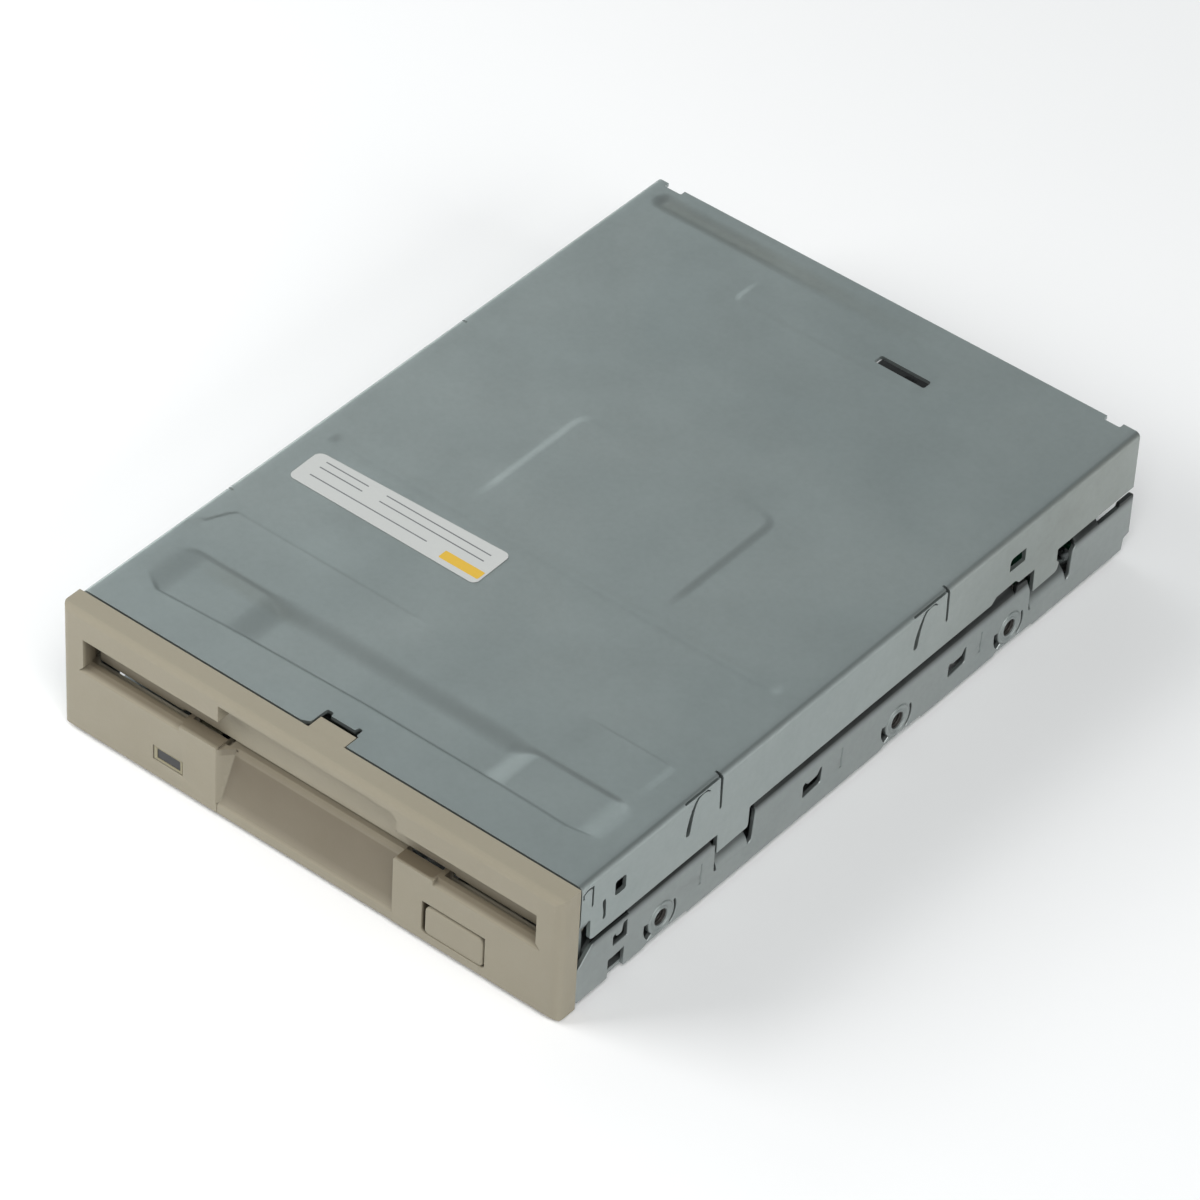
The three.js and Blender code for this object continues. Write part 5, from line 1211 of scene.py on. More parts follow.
# ---------------------------------------------------------------- springs
for name, k in (("left", -1), ("right", 1)):
    s = Shell()
    s.tube(coil_path("y", 0.70, 30.3, 79.2, k * 44.0, 23.2, 44, 12, 1), 0.145, 7)
    s.tube([(k * 44 + 0.70, 30.3, 23.2), (k * 44 + 0.3, 29.95, 23.2), (k * 44, 29.85, 23.3), (k * 44 - 0.3, 29.9, 23.5)], 0.14, 7)
    s.tube([(k * 44 + 0.70, 79.2, 23.2), (k * 44 + 0.3, 79.55, 23.2), (k * 44, 79.65, 23.3), (k * 44 - 0.3, 79.6, 23.5)], 0.14, 7)
    o = add(f"spring_wire_{name}", s, None, f"eject_spring_{name}", [MAT["bright_steel"]], 60)
    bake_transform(o)
s = Shell().tube(coil_path("x", 0.50, 38.2, 41.8, 6.6, 22.6, 9, 14), 0.11, 7)
add("flap_spring_wire", s, "chassis", "flap_spring", [MAT["bright_steel"]], 60)
s = Shell().tube(coil_path("z", 1.75, 22.82, 23.18, 40, 100, 1.75, 26), 0.16, 8)
s.tube([(41.75, 100, 22.82), (41.72, 99.3, 22.8), (41.4, 97.9, 22.72)], 0.155, 8)
add("lever_spring_wire", s, "lever", "lever_spring", [MAT["bright_steel"]], 60)
s = Shell().tube(coil_path("x", 0.83, -4.2, 4.2, 113.3, 15.6, 13, 14), 0.15, 7)
s.tube([(-4.2, 114.13, 15.6), (-4.25, 114.1, 15.2), (-4.3, 113.9, 14.75)], 0.145, 7)
s.tube([(4.2, 114.13, 15.6), (4.25, 114.1, 16.0), (4.3, 113.9, 16.45)], 0.145, 7)
add("arm_spring_wire", s, "carriage", "arm_spring", [MAT["bright_steel"]], 60)

# ---------------------------------------------------------------- shutter lever
LX, LY = 40.0, 100.0
arm_dir = math.atan2(80.7 - LY, 17 - LX)
lux, luy = math.cos(arm_dir), math.sin(arm_dir)


def on_lever(d, w):
    return (LX + lux * d - luy * w, LY + luy * d + lux * w)


s = Shell()
outline = []
for a in range(60, 301, 12):
    outline.append(on_lever(3.4 * math.cos(math.radians(a)), 3.4 * math.sin(math.radians(a))))
outline += [on_lever(7, -1.9), on_lever(28, -1.5)] + [on_lever(30 + 1.55 * math.cos(math.radians(a)), 1.55 * math.sin(math.radians(a))) for a in range(-80, 81, 16)] + [on_lever(28, 1.5), on_lever(7, 1.9)]
s.plate("z", outline, 20.9, 22.1, [ring(LX, LY, 1.15, 28)], 0.18)
s.lathe("z", [(1.1, 21.9), (3.2, 21.9), (3.2, 22.4), (3.0, 22.6), (1.25, 22.6), (1.1, 22.45)], LX, LY, 40)
px_, py_ = on_lever(30, 0)
s.lathe("z", [(0, 16.2), (1.05, 16.2), (1.3, 16.5), (1.3, 21.2), (0, 21.2)], px_, py_, 28)
rib = [on_lever(6, -0.45), on_lever(27, -0.4), on_lever(27, 0.4), on_lever(6, 0.45)]
s.plate("z", rib, 22.0, 22.5, bevel=0.12)
add("lever_moulding", s, "lever", "shutter_lever", [MAT["nylon"]])

# ---------------------------------------------------------------- spindle motor
s = Shell()
s.plate("z", rect(-33.5, 33.5, 27.5, 82.0, 3, 6), 1.8, 3.0, [ring(0, 56.5, 3.4, 32), ring(-30.5, 30.5, 1.35, 20), ring(30.5, 30.5, 1.35, 20), ring(-30.5, 79.0, 1.35, 20)], 0.06)
for x, y in [(-30.5, 30.5), (30.5, 30.5), (-30.5, 79.0)]:
    s.lathe("z", [(1.4, 2.98), (2.9, 2.98), (2.9, 3.03), (1.4, 3.03)], x, y, 28, mat=1)
for i in range(8):
    s.plate("z", rect(26.0 + 0.9 * i - 0.28, 26.0 + 0.9 * i + 0.28, 74.6, 76.6, 0.1), 2.98, 3.05, bevel=0.02, mat=1)
for x, y, w, h, t, m_ in ((24.5, 34.0, 3.2, 1.6, 0.9, 2), (28.8, 38.6, 1.6, 3.2, 0.8, 2), (-27.5, 34.5, 1.6, 3.2, 0.8, 2), (-24.8, 31.6, 3.2, 1.6, 0.7, 2), (-22.5, 78.3, 5.0, 4.0, 1.4, 3), (20.5, 79.0, 2.0, 1.2, 0.6, 2), (-16.0, 79.6, 2.0, 1.2, 0.6, 2), (31.5, 68.0, 1.2, 2.0, 0.6, 2)):
    s.plate("z", rect(x - w / 2, x + w / 2, y - h / 2, y + h / 2, 0.1), 3.0, 3.0 + t, bevel=0.08, mat=m_)
    if m_ == 2:
        for k in (-1, 1):
            if w > h:
                s.plate("z", rect(x + k * w / 2 - 0.35, x + k * w / 2 + 0.35, y - h / 2 - 0.08, y + h / 2 + 0.08, 0.1), 2.99, 3.0 + t + 0.03, bevel=0.08, mat=1)
            else:
                s.plate("z", rect(x - w / 2 - 0.08, x + w / 2 + 0.08, y + k * h / 2 - 0.35, y + k * h / 2 + 0.35, 0.1), 2.99, 3.0 + t + 0.03, bevel=0.08, mat=1)
add("motor_board_assembled", s, "chassis", "motor_board", [MAT["circuit_board"], MAT["tin"], MAT["ceramic"], MAT["chip_body"]])

s = Shell()
s.lathe("z", [(5.0, 4.2), (12, 4.2), (12, 7.4), (5.0, 7.4)], 0, 56.5, 48)
for i in range(12):
    a = math.radians(30 * i)
    c, d = math.cos(a), math.sin(a)

    def spoke(pts):
        return [(x * c - y * d, 56.5 + x * d + y * c, z) for x, y, z in pts]
    for x0, x1, h, z0, z1, m_ in ((11.5, 16.8, 1.1, 4.9, 6.7, 0), (16.4, 18.4, 3.2, 4.9, 6.7, 0)):
        s.loft([spoke([(x0, -h, z0), (x1, -h, z0), (x1, h, z0), (x0, h, z0)]), spoke([(x0, -h, z1), (x1, -h, z1), (x1, h, z1), (x0, h, z1)])], mat=m_)
    sec = []
    for k, (x, g) in enumerate(((11.95, 0.55), (12.2, 0.85), (12.6, 1.0), (15.8, 1.0), (16.15, 0.85), (16.35, 0.5))):
        sec.append(spoke([(x, 2.0 * g * math.copysign(abs(math.cos(q)) ** 0.5, math.cos(q)), 5.8 + 1.8 * g * math.copysign(abs(math.sin(q)) ** 0.5, math.sin(q))) for q in [2 * math.pi * j / 16 for j in range(16)]]))
    s.loft(sec, mat=1)
for a in (45, 165, 285):
    s.lathe("z", [(0, 3.05), (1.2, 3.05), (1.2, 5.0), (0, 5.0)], 8 * math.cos(math.radians(a)), 56.5 + 8 * math.sin(math.radians(a)), 20)
add("stator_wound", s, "chassis", "stator_core", [MAT["lamination"], MAT["winding_wire"]])

s = Shell().lathe("z", [(2.02, 9.0), (2.6, 8.98), (26.6, 9.0), (27.05, 8.8), (27.2, 8.4), (27.2, 3.7), (27.3, 3.6), (27.9, 3.6), (28.0, 3.7), (28.0, 9.1), (27.85, 9.55), (27.4, 9.8), (13.2, 9.8), (13.0, 9.75), (2.02, 9.75)], 0, 56.5, 96)
add("rotor_shell", s, "rotor", "rotor_dish", [MAT["bare_steel"]], 28)
s = Shell().lathe("z", [(20.5, 4.1), (20.7, 3.9), (26.9, 3.9), (27.1, 4.1), (27.1, 8.7), (26.9, 8.9), (20.7, 8.9), (20.5, 8.7)], 0, 56.5, 96)
add("magnet_ring", s, "rotor", "rotor_magnet", [MAT["ferrite"]], 28)
s = Shell().plate("z", ring(0, 56.5, 12.5, 96), 9.85, 12.5, [ring(0, 56.5, 1.97, 36), ring(9.6, 56.5, 2.2, 36)], 0.15)
s.plate("z", ring(0, 56.5, 12.1, 96), 12.3, 12.9, [ring(0, 56.5, 2.4, 36), ring(9.6, 56.5, 2.21, 36), ring(0, 56.5, 7.1, 72)], 0.1)
s.lathe("z", [(2.0, 12.35), (6.6, 12.35), (6.6, 12.75), (2.0, 12.75)], 0, 56.5, 72, mat=1)
add("hub_face", s, "rotor", "spindle_hub", [MAT["aluminium"], MAT["ferrite"]], 28)
s = Shell().lathe("z", [(0, 2.1), (1.75, 2.1), (1.95, 2.3), (1.95, 14.5), (1.85, 14.75), (1.6, 14.95), (1.2, 15.0), (0, 15.0)], 0, 56.5, 48)
add("shaft_turned", s, "rotor", "spindle_shaft", [MAT["bright_steel"]], 28)
s = Shell().lathe("z", [(0, 11.4), (1.6, 11.4), (1.7, 11.5), (1.7, 13.9), (1.55, 14.2), (1.2, 14.4), (0, 14.4)], 9.6, 56.5, 32)
add("drive_pin_turned", s, "pin", "drive_pin", [MAT["bright_steel"]], 28)
s = Shell().lathe("z", [(2.2, 2.05), (3.15, 2.05), (3.2, 2.1), (3.2, 3.1), (4.6, 3.1), (4.6, 8.2), (4.4, 8.4), (2.3, 8.4), (2.2, 8.3)], 0, 56.5, 48)
add("bearing_sleeve", s, "chassis", "spindle_bearing", [MAT["bronze"]], 28)

# ---------------------------------------------------------------- stepper motor, lead screw, rods
SX, SZ = -15.0, 10.0
s = Shell().lathe("y", [(1.55, 121.6), (1.7, 121.4), (2.85, 121.4), (3.0, 121.55), (3.0, 122.0), (6.9, 122.0), (7.2, 122.2), (7.3, 122.5), (7.3, 129.3), (7.18, 129.42), (7.18, 129.58), (7.3, 129.7), (7.3, 136.5), (7.2, 136.8), (6.9, 137.0), (3.2, 137.0), (3.0, 136.7), (1.55, 136.7)], SX, SZ, 72)
s.plate("z", rect(-18.5, -11.5, 126.0, 134.0, 0.5), 16.4, 18.3, bevel=0.2, mat=1)
for i in range(4):
    s.lathe("z", [(0, 18.2), (0.5, 18.2), (0.45, 18.36), (0.2, 18.4), (0, 18.4)], -17.4 + 1.6 * i, 130.0, 16, mat=2)
add("stepper_can", s, "chassis", "stepper_motor", [MAT["zinc_plated_steel"], MAT["black_plastic"], MAT["tin"]])
s = Shell()
s.plate("y", fillet([(-24.0, 1.85, 0.1), (-6.0, 1.85, 0.1), (-6.0, 17.5, 2.0), (-24.0, 17.5, 2.0)], 1), 120.5, 121.3, [ring(SX, SZ, 2.65, 32), ring(-21.5, 14.6, 0.9, 16), ring(-8.5, 14.6, 0.9, 16)], 0.1)
s.plate("z", fillet([(-17.5, 83.2, 0.1), (-12.5, 83.2, 0.1), (-12.5, 112.2, 0.1), (-17.5, 112.2, 0.1)], 0.1), 1.8, 2.6, [stadium(-15.0, 90, -15.0, 106, 0.9)], 0.1)
s.plate("y", fillet([(-18.5, 1.85, 0.2), (-11.5, 1.85, 0.2), (-11.5, 13.0, 1.8), (-18.5, 13.0, 1.8)], 1), 83.0, 84.0, [ring(SX, SZ, 1.85, 28)], 0.1)
s.plate("z", fillet([(-26.5, 112.0, 1.2), (-6.0, 112.0, 1.2), (-6.0, 121.2, 0.1), (-26.5, 121.2, 1.2)], 1), 1.8, 2.6, [ring(-22.5, 115.5, 1.35, 24)], 0.1)
add("stepper_mount", s, "chassis", "stepper_bracket", [MAT["bare_steel"]])
s = Shell().lathe("y", [(0, 84.4), (0.75, 84.4), (0.9, 84.55), (0.9, 86.3), (1.3, 86.35), (1.3, 121.1), (1.0, 121.15), (1.0, 122.9), (0.9, 123.0), (0, 123.0)], SX, SZ, 36)
pitch_ = 3.75
for start_ in (0.0, 0.5):
    path = []
    y = 86.7
    while y < 120.8:
        t = 2 * math.pi * ((y - 86.7) / pitch_ + start_)
        path.append((SX + 1.28 * math.sin(t), y, SZ + 1.28 * math.cos(t)))
        y += pitch_ / 22
    s.tube(path, 0.22, 7)
add("screw_thread", s, "screw", "lead_screw", [MAT["bright_steel"]], 40)
RX, RZ = None, None
gb = [NODES["guide_rod"].matrix_world @ Vector(c) for c in NODES["guide_rod"].bound_box]
gx0, gx1 = min(v.x for v in gb) / MM, max(v.x for v in gb) / MM
gz0, gz1 = min(v.z for v in gb) / MM, max(v.z for v in gb) / MM
RX, RZ = (gx0 + gx1) / 2, (gz0 + gz1) / 2
s = Shell().lathe("y", [(0, 83.85), (1.35, 83.85), (1.5, 84.0), (1.5, 120.55), (1.35, 120.7), (0, 120.7)], RX, RZ, 48)
add("rod_ground", s, "chassis", "guide_rod", [MAT["bright_steel"]], 28)
s = Shell().lathe("x", [(0, -6.6), (0.65, -6.6), (0.75, -6.5), (0.75, 6.5), (0.65, 6.6), (0, 6.6)], 117.0, 17.2, 28)
add("hinge_pin_turned", s, "carriage", "arm_hinge_pin", [MAT["bright_steel"]], 28)

# ---------------------------------------------------------------- main board
CB = 4.4
s = Shell()
s.plate("z", fillet([(-25.5, 111.5, 0.5), (-25.5, 139.2, 0.8), (-4.8, 139.2, 0.8), (-4.8, 120.6, 0.5), (7.6, 120.6, 0.5), (7.6, 123.6, 0.5), (21.0, 123.6, 0.5), (21.0, 120.6, 0.5), (27.0, 120.6, 0.5), (27.0, 111.5, 0.5), (41.0, 111.5, 0.5),
                     (41.0, 119.4, 0.5), (48.5, 119.4, 0.8), (48.5, 146.0, 0.8), (-48.5, 146.0, 0.8), (-48.5, 119.4, 0.8), (-41.0, 119.4, 0.5), (-41.0, 111.5, 0.5)], 0.5), 2.8, 4.4,
        [ring(-44.5, 128.0, 1.6, 24), ring(46.2, 134.0, 1.6, 24)], 0.06)
for x, y in ((-44.5, 128.0), (46.2, 134.0)):
    s.lathe("z", [(1.65, 4.38), (3.1, 4.38), (3.1, 4.43), (1.65, 4.43)], x, y, 28, mat=1)
    s.lathe("z", [(1.65, 2.77), (3.1, 2.77), (3.1, 2.82), (1.65, 2.82)], x, y, 28, mat=1)
for i in range(17):
    for j in range(2):
        x, y = 22 + (i - 8) * 2.54, 136.2 + 2.2 * j
        if 26.5 < x < 40.5:
            y = 136.9 + 1.6 * j
        s.lathe("z", [(0, 4.38), (0.62, 4.38), (0.5, 4.50), (0.2, 4.62), (0, 4.64)], x, y, 14, mat=1)
        s.lathe("z", [(0, 2.82), (0.62, 2.82), (0.5, 2.62), (0.2, 2.3), (0, 2.25)], x, y, 14, mat=1)
for i in range(4):
    s.lathe("z", [(0, 2.82), (0.8, 2.82), (0.6, 2.6), (0.2, 2.3), (0, 2.25)], -28.5 + 2.5 * i, 143.5, 14, mat=1)
for x, y, w, h, t in ((-46.0, 122.0, 1.3, 2.2, 0.6), (-43.6, 122.0, 1.3, 2.2, 0.6), (-37.5, 114.6, 2.2, 1.3, 0.6), (-33.5, 114.6, 2.2, 1.3, 0.6), (-29.0, 116.2, 1.3, 2.2, 0.6), (-36.0, 134.2, 3.2, 1.8, 0.9), (-30.5, 134.2, 3.2, 1.8, 0.9),
                      (-44.0, 134.5, 3.4, 2.6, 1.6), (-28.2, 125.5, 1.3, 2.2, 0.6), (10.0, 126.0, 2.2, 1.3, 0.6), (14.0, 126.0, 2.2, 1.3, 0.6), (18.0, 126.0, 2.2, 1.3, 0.6), (18.6, 131.0, 1.3, 2.2, 0.6), (22.0, 130.0, 1.3, 2.2, 0.6),
                      (24.6, 130.0, 1.3, 2.2, 0.6), (42.6, 122.6, 1.3, 2.2, 0.6), (45.2, 122.6, 1.3, 2.2, 0.6), (44.0, 127.6, 3.2, 1.6, 0.8), (30.0, 119.2, 2.2, 1.3, 0.6), (34.0, 119.2, 2.2, 1.3, 0.6), (38.0, 116.0, 2.2, 1.3, 0.6)):
    s.plate("z", rect(x - w / 2, x + w / 2, y - h / 2, y + h / 2, 0.1), 4.4, 4.4 + t, bevel=0.08, mat=2)
    for k in (-1, 1):
        if w > h:
            s.plate("z", rect(x + k * w / 2 - 0.3, x + k * w / 2 + 0.3, y - h / 2 - 0.06, y + h / 2 + 0.06, 0.1), 4.39, 4.43 + t, bevel=0.08, mat=1)
        else:
            s.plate("z", rect(x - w / 2 - 0.06, x + w / 2 + 0.06, y + k * h / 2 - 0.3, y + k * h / 2 + 0.3, 0.1), 4.39, 4.43 + t, bevel=0.08, mat=1)
add("main_board_assembled", s, "chassis", "main_board", [MAT["circuit_board"], MAT["tin"], MAT["ceramic"]])


def gull_chip(name, node, x0, x1, y0, y1, z0, h, legs):
    c = Shell()
    sec = []
    for d, z in ((0.25, z0 + 0.2), (0.06, z0 + 0.45), (0.0, z0 + h * 0.5), (0.06, z0 + h - 0.25), (0.2, z0 + h)):
        sec.append([(p[0], p[1], z) for p in fillet([(x0 + d, y0 + d, 0.5), (x1 - d, y0 + d, 0.25), (x1 - d, y1 - d, 0.25), (x0 + d, y1 - d, 0.25)], 0.25, 3)])
    c.loft(sec)
    c.lathe("z", [(0.001, z0 + h - 0.01), (0.55, z0 + h - 0.01), (0.6, z0 + h + 0.015), (0.5, z0 + h + 0.02), (0.001, z0 + h + 0.012)], x0 + 1.5, y0 + 1.5, 20, mat=2)
    zm = z0 + h * 0.5
    for k in range(legs):
        t = (k + 0.5) / legs
        for side_, (lo, hi) in enumerate(((x0, x1), (x0, x1), (y0, y1), (y0, y1))):
            q = lo + (hi - lo) * (0.06 + 0.88 * t)
            prof = [(-0.25, zm + 0.09), (-0.25, zm - 0.09), (0.25, zm - 0.09), (0.42, zm - 0.25), (0.5, z0 + 0.05), (0.62, z0 + 0.03), (1.0, z0 + 0.03), (1.0, z0 + 0.18), (0.68, z0 + 0.2), (0.62, z0 + 0.3), (0.5, zm - 0.05), (0.36, zm + 0.09)]
            pts = []
            for w_ in (-0.2, 0.2):
                if side_ == 0:
                    pts.append([(q + w_, y0 - o_, z) for o_, z in prof])
                elif side_ == 1:
                    pts.append([(q + w_, y1 + o_, z) for o_, z in prof])
                elif side_ == 2:
                    pts.append([(x0 - o_, q + w_, z) for o_, z in prof])
                else:
                    pts.append([(x1 + o_, q + w_, z) for o_, z in prof])
            c.loft(pts, mat=1)
    add(name, c, "chassis", node, [MAT["chip_body"], MAT["tin"], MAT["slot_dark"]])


gull_chip("controller_package", "controller_chip", 28.0, 39.0, 124.0, 135.0, CB, 2.2, 12)
gull_chip("driver_package", "driver_chip", -39.0, -31.0, 122.0, 130.0, CB, 2.0, 8)
s = Shell().lathe("z", [(0, CB + 0.8), (2.35, CB + 0.8), (2.6, CB + 1.0), (2.6, CB + 1.7), (2.45, CB + 1.85), (2.45, CB + 2.0), (2.6, CB + 2.15), (2.6, CB + 5.9), (2.5, CB + 6.15), (2.3, CB + 6.2), (2.1, CB + 6.12), (0, CB + 6.12)], 12.0, 132.0, 40)
s.plate("z", fillet([(9.2, 129.2, 0.9), (14.8, 129.2, 0.2), (14.8, 134.8, 0.2), (9.2, 134.8, 0.9)], 0.2), CB + 0.05, CB + 0.9, bevel=0.12, mat=1)
for a in (0, 120, 240):
    s.plate("z", [(12 + 0.12 * math.cos(math.radians(a + 90)) + 0 * math.cos(math.radians(a)), 132 + 0.12 * math.sin(math.radians(a + 90))),
                  (12 - 0.12 * math.cos(math.radians(a + 90)), 132 - 0.12 * math.sin(math.radians(a + 90))),
                  (12 + 1.9 * math.cos(math.radians(a)) - 0.08 * math.cos(math.radians(a + 90)), 132 + 1.9 * math.sin(math.radians(a)) - 0.08 * math.sin(math.radians(a + 90))),
                  (12 + 1.9 * math.cos(math.radians(a)) + 0.08 * math.cos(math.radians(a + 90)), 132 + 1.9 * math.sin(math.radians(a)) + 0.08 * math.sin(math.radians(a + 90)))], CB + 6.10, CB + 6.15, bevel=0.01, mat=1)
add("capacitor_can", s, "chassis", "board_capacitor", [MAT["aluminium"], MAT["black_plastic"]], 28)

# connectors: walls with lead-in edges, square pins
s = Shell()
s.plate("y", rect(-1.0, 45.0, 4.43, 12.9, 0.35), 139.6, 141.2, bevel=0.2)
out = fillet([(-1.0, 4.43, 0.35), (45.0, 4.43, 0.35), (45.0, 12.9, 0.35), (24.0, 12.9, 0.2), (24.0, 11.8, 0.1), (43.8, 11.8, 0.3), (43.8, 5.6, 0.3), (0.2, 5.6, 0.3), (0.2, 11.8, 0.3), (19.8, 11.8, 0.1), (19.8, 12.9, 0.2), (-1.0, 12.9, 0.35)], 0.2)
s.plate("y", out, 141.0, 148.6, bevel=0.18)
for k in (6.0, 38.0):
    s.plate("z", rect(k - 1.2, k + 1.2, 141.2, 147.2, 0.3), 12.85, 12.9, bevel=0.01)
add("data_shroud", s, "chassis", "data_connector", [MAT["black_plastic"]])
s = Shell().plate("y", rect(0.9, 43.1, 6.4, 11.0, 0.2), 141.25, 142.2, bevel=0.1, mat=1)
for i in range(17):
    for j in range(2):
        if i == 1 and j == 0:
            continue
        x, z = 22 + (i - 8) * 2.54, 7.43 + j * 2.54
        sq = [(-0.32, -0.32), (0.32, -0.32), (0.32, 0.32), (-0.32, 0.32)]
        s.loft([[(x + a * k, y, z + b * k) for a, b in sq] for y, k in ((142.1, 1), (147.4, 1), (148.0, 0.4))])
add("data_pin_rows", s, "chassis", "data_pins", [MAT["gold_plated_pins"], MAT["black_plastic"]])
s = Shell()
s.plate("y", rect(-31.0, -18.6, 4.43, 11.4, 0.35), 139.8, 141.35, bevel=0.2)
s.plate("y", rect(-31.0, -18.6, 4.43, 11.4, 0.35), 141.2, 148.2, [fillet([(-30.0, 10.4, 0.2), (-30.0, 6.6, 0.2), (-27.6, 6.6, 0.1), (-27.6, 5.2, 0.2), (-22.0, 5.2, 0.2), (-22.0, 6.6, 0.1), (-19.6, 6.6, 0.2), (-19.6, 10.4, 0.2)], 0.2)], bevel=0.18)
add("power_shroud", s, "chassis", "power_connector", [MAT["nylon"]])
s = Shell().plate("y", rect(-29.6, -20.0, 7.4, 9.6, 0.2), 141.3, 142.4, bevel=0.1, mat=1)
for i in range(4):
    x = -28.55 + i * 2.5
    s.loft([[(x + a * k, y, 8.43 + b * k) for a, b in ((-0.33, -0.33), (0.33, -0.33), (0.33, 0.33), (-0.33, 0.33))] for y, k in ((142.3, 1), (146.8, 1), (147.4, 0.4))])
add("power_pin_row", s, "chassis", "power_pins", [MAT["tin"], MAT["nylon"]])

# ---------------------------------------------------------------- screws: a pan head with a cross recess, built anew at each place
def pan_screw(r, h, shank, length):
    c = Shell().lathe("z", [(0, -length), (shank * 0.8, -length), (shank, -length + 0.25), (shank, 0.02), (r, 0.0), (r, h * 0.45), (r * 0.93, h * 0.74), (r * 0.7, h * 0.94), (0.001, h)], 0, 0, 40)
    t = Shell()
    for a in (0, 90):
        w, l_ = 0.32, r * 0.62
        flat = [(-l_, -w), (l_, -w), (l_, w), (-l_, w)]
        if a:
            flat = [(-y, x) for x, y in flat]
        t.loft([[(x * 0.35, y * 0.6 if not a else y * 0.35, h - 1.0) if not a else (x * 0.6, y * 0.35, h - 1.0) for x, y in flat], [(x, y, h + 0.2) for x, y in flat]])
    one, two = Shell(), Shell()
    one.v, one.f, one.m = t.v[:8], t.f[:6], t.m[:6]
    two.v, two.f, two.m = t.v[8:], [tuple(i - 8 for i in f) for f in t.f[6:]], t.m[6:]
    base_mesh = outward(c.mesh("pan_screw"))
    return carve(base_mesh, [one, two], "EXACT")


def place_screw(name, node, r, h, x, y, z, shank=1.2, length=1.2, turn_deg=0.0):
    me_ = pan_screw(r, h, shank, length)
    rot = Matrix.Rotation(math.radians(turn_deg), 4, "Z")
    me_.transform(Matrix.Translation(P(x, y, z) - P(0, 0, 0)) @ Matrix.Translation(P(0, 0, 0)) @ rot @ Matrix.Translation(-P(0, 0, 0)))
    me_.name = name
    piece(name, shade(me_, 30), "chassis", node, [MAT["bright_steel"]])


for i, (x, y, t) in enumerate(((-44.5, 128.0, 12), (46.2, 134.0, 64))):
    place_screw(f"board_pan_screw_{i + 1}", f"board_screw_{i + 1}", 2.7, 1.57, x, y, 4.44, 1.25, 2.5, t)
for i, (x, y, t) in enumerate(((-30.5, 30.5, 33), (30.5, 30.5, 71), (-30.5, 79.0, 5))):
    place_screw(f"motor_pan_screw_{i + 1}", f"motor_screw_{i + 1}", 2.6, 1.35, x, y, 3.05, 1.2, 1.3, t)
place_screw("stepper_pan_screw", "stepper_screw", 2.4, 1.35, -22.5, 115.5, 2.65, 1.2, 0.9, 48)

# ---------------------------------------------------------------- flat flex cables
def smooth_line(pts, n=8):
    out = []
    k = len(pts)
    for i in range(k - 1):
        p0, p1, p2, p3 = (Vector(pts[max(0, i - 1)]), Vector(pts[i]), Vector(pts[i + 1]), Vector(pts[min(k - 1, i + 2)]))
        for j in range(n):
            t = j / n
            out.append(0.5 * ((2 * p1) + (p2 - p0) * t + (2 * p0 - 5 * p1 + 4 * p2 - p3) * t * t + (3 * p1 - p0 - 3 * p2 + p3) * t ** 3))
    out.append(Vector(pts[-1]))
    return out


def ribbon_cable(name, node, body, line, x0, x1, t):
    pts = smooth_line(line)
    c = Shell()
    sec = []
    for i, p in enumerate(pts):
        a, b = pts[max(0, i - 1)], pts[min(len(pts) - 1, i + 1)]
        d = (b - a).normalized()
        n_ = Vector((-d.y, d.x)) * t / 2
        sec.append([(x0, p.x + n_.x, p.y + n_.y), (x1, p.x + n_.x, p.y + n_.y), (x1, p.x - n_.x, p.y - n_.y), (x0, p.x - n_.x, p.y - n_.y)])
    c.loft(sec)
    return add(name, c, body, node, [MAT["flex_head"]], 50)


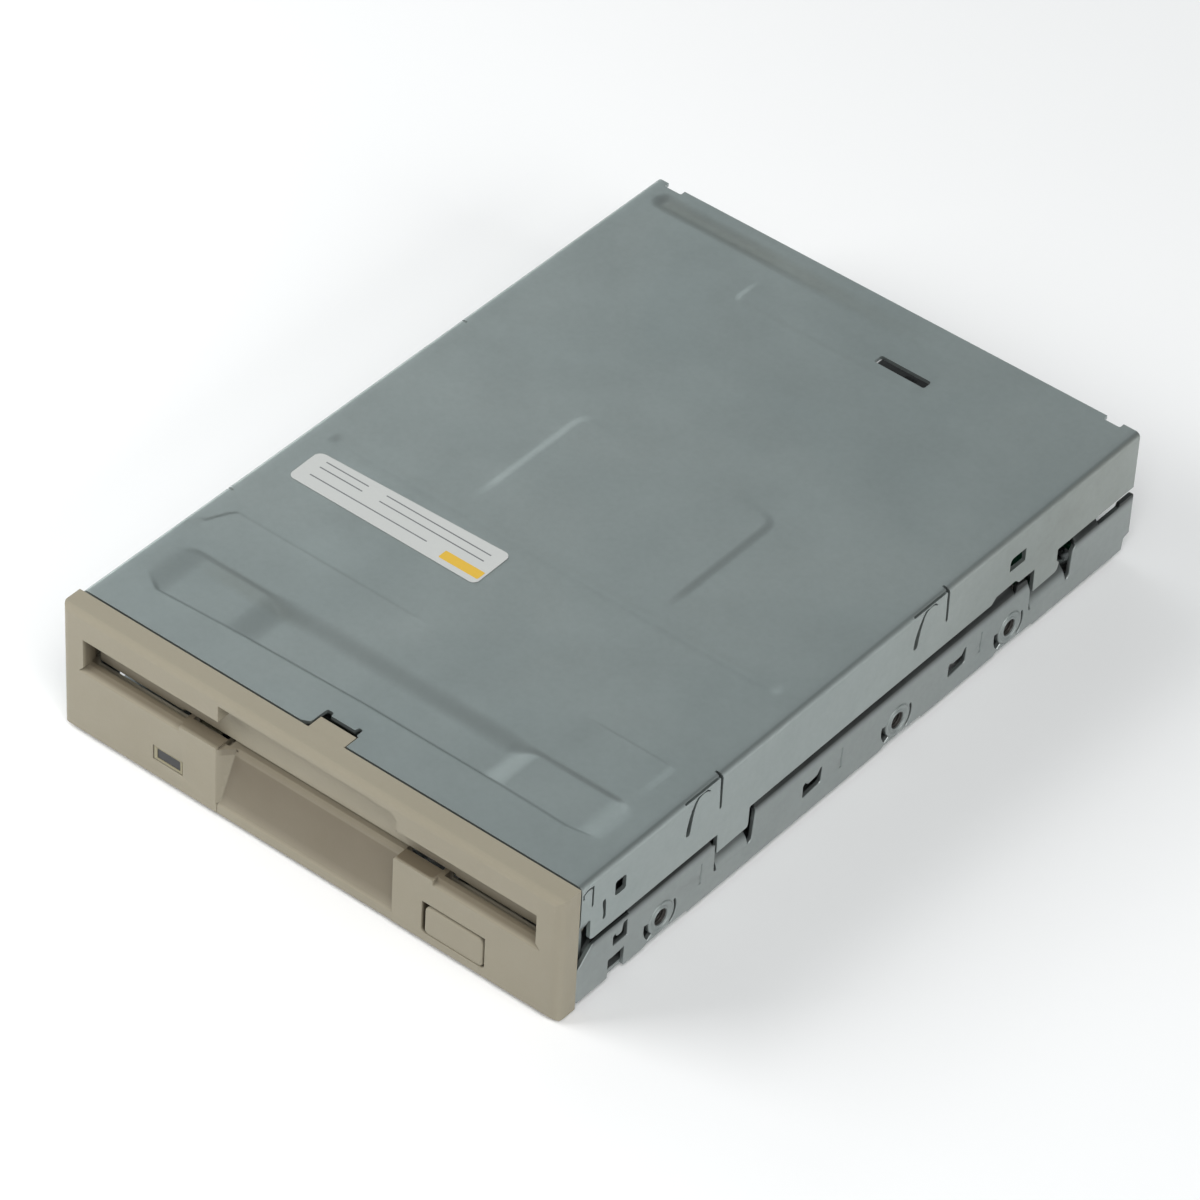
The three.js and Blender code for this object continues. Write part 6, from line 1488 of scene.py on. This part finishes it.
head_flex = ribbon_cable("head_flex", "head_flex_cable", None, [(128.7, 5.4), (131.2, 5.4), (133.4, 6.0), (135.0, 8.2), (135.0, 10.8), (133.4, 13.2), (130.5, 14.2), (124.0, 13.9), (119.05, 13.4)], -4.0, 4.0, 0.16)
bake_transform(head_flex)
ribbon_cable("motor_flex", "motor_flex_cable", "chassis", [(77.0, 3.125), (92.0, 3.125), (105.0, 3.125), (107.2, 3.32), (109.0, 4.0), (111.0, 4.52), (116.0, 4.52)], 27.6, 32.4, 0.15)

# ---------------------------------------------------------------- switch plungers
for node, body, x in (("density_plunger", "density_switch", -38.0), ("protect_plunger", "protect_switch", 39.8), ("disk_in_plunger", "disk_in_switch", 34.2)):
    s = Shell().lathe("z", [(0, 7.6), (0.9, 7.6), (1.0, 7.7), (1.0, 14.0), (0.88, 14.3), (0.6, 14.48), (0, 14.5)], x, 23.5, 28)
    add(node + "_tip", s, body, node, [MAT["nylon"]], 28)

# ---------------------------------------------------------------- drawn shapes that stay: their edges are rounded
for name, w, mat in (
    ("head_carriage", 0.25, "black_plastic"), ("upper_head_arm", 0.22, "black_plastic"), ("lower_head", 0.12, "ceramic"), ("upper_head", 0.12, "ceramic"),
    ("screw_follower", 0.2, "nylon"), ("track_zero_sensor", 0.2, "black_plastic"), ("switch_block_left", 0.25, "black_plastic"), ("switch_block_right", 0.25, "black_plastic"),
    ("lamp_holder", 0.2, "black_plastic"), ("rod_clamp_front", 0.2, "bare_steel"), ("rod_clamp_rear", 0.2, "bare_steel"), ("screw_bearing", 0.12, "nylon"), ("flex_connector", 0.15, "nylon"),
):
    o = NODES[name]
    o.data.materials.clear()
    o.data.materials.append(MAT[mat])
    bevel(o, w, 2, 30)
# ---------------------------------------------------------------- floor
fm = Nodes("studio_floor")
fm.put("Base Color", fm.mix(fm.span(fm.noise(2, 2, 0.5), 0.3, 0.7), (0.91, 0.91, 0.91), (0.93, 0.93, 0.93)))
fm.put("Roughness", 0.9)
fm.p.inputs["Specular IOR Level"].default_value = 0.1
bm = bmesh.new()
bmesh.ops.create_grid(bm, x_segments=1, y_segments=1, size=6.0)
floor_mesh = bpy.data.meshes.new("studio_floor")
bm.to_mesh(floor_mesh)
bm.free()
floor = bpy.data.objects.new("studio_floor", floor_mesh)
floor_mesh.materials.append(fm.mat)
scene.collection.objects.link(floor)
floor.location.z = -0.00005
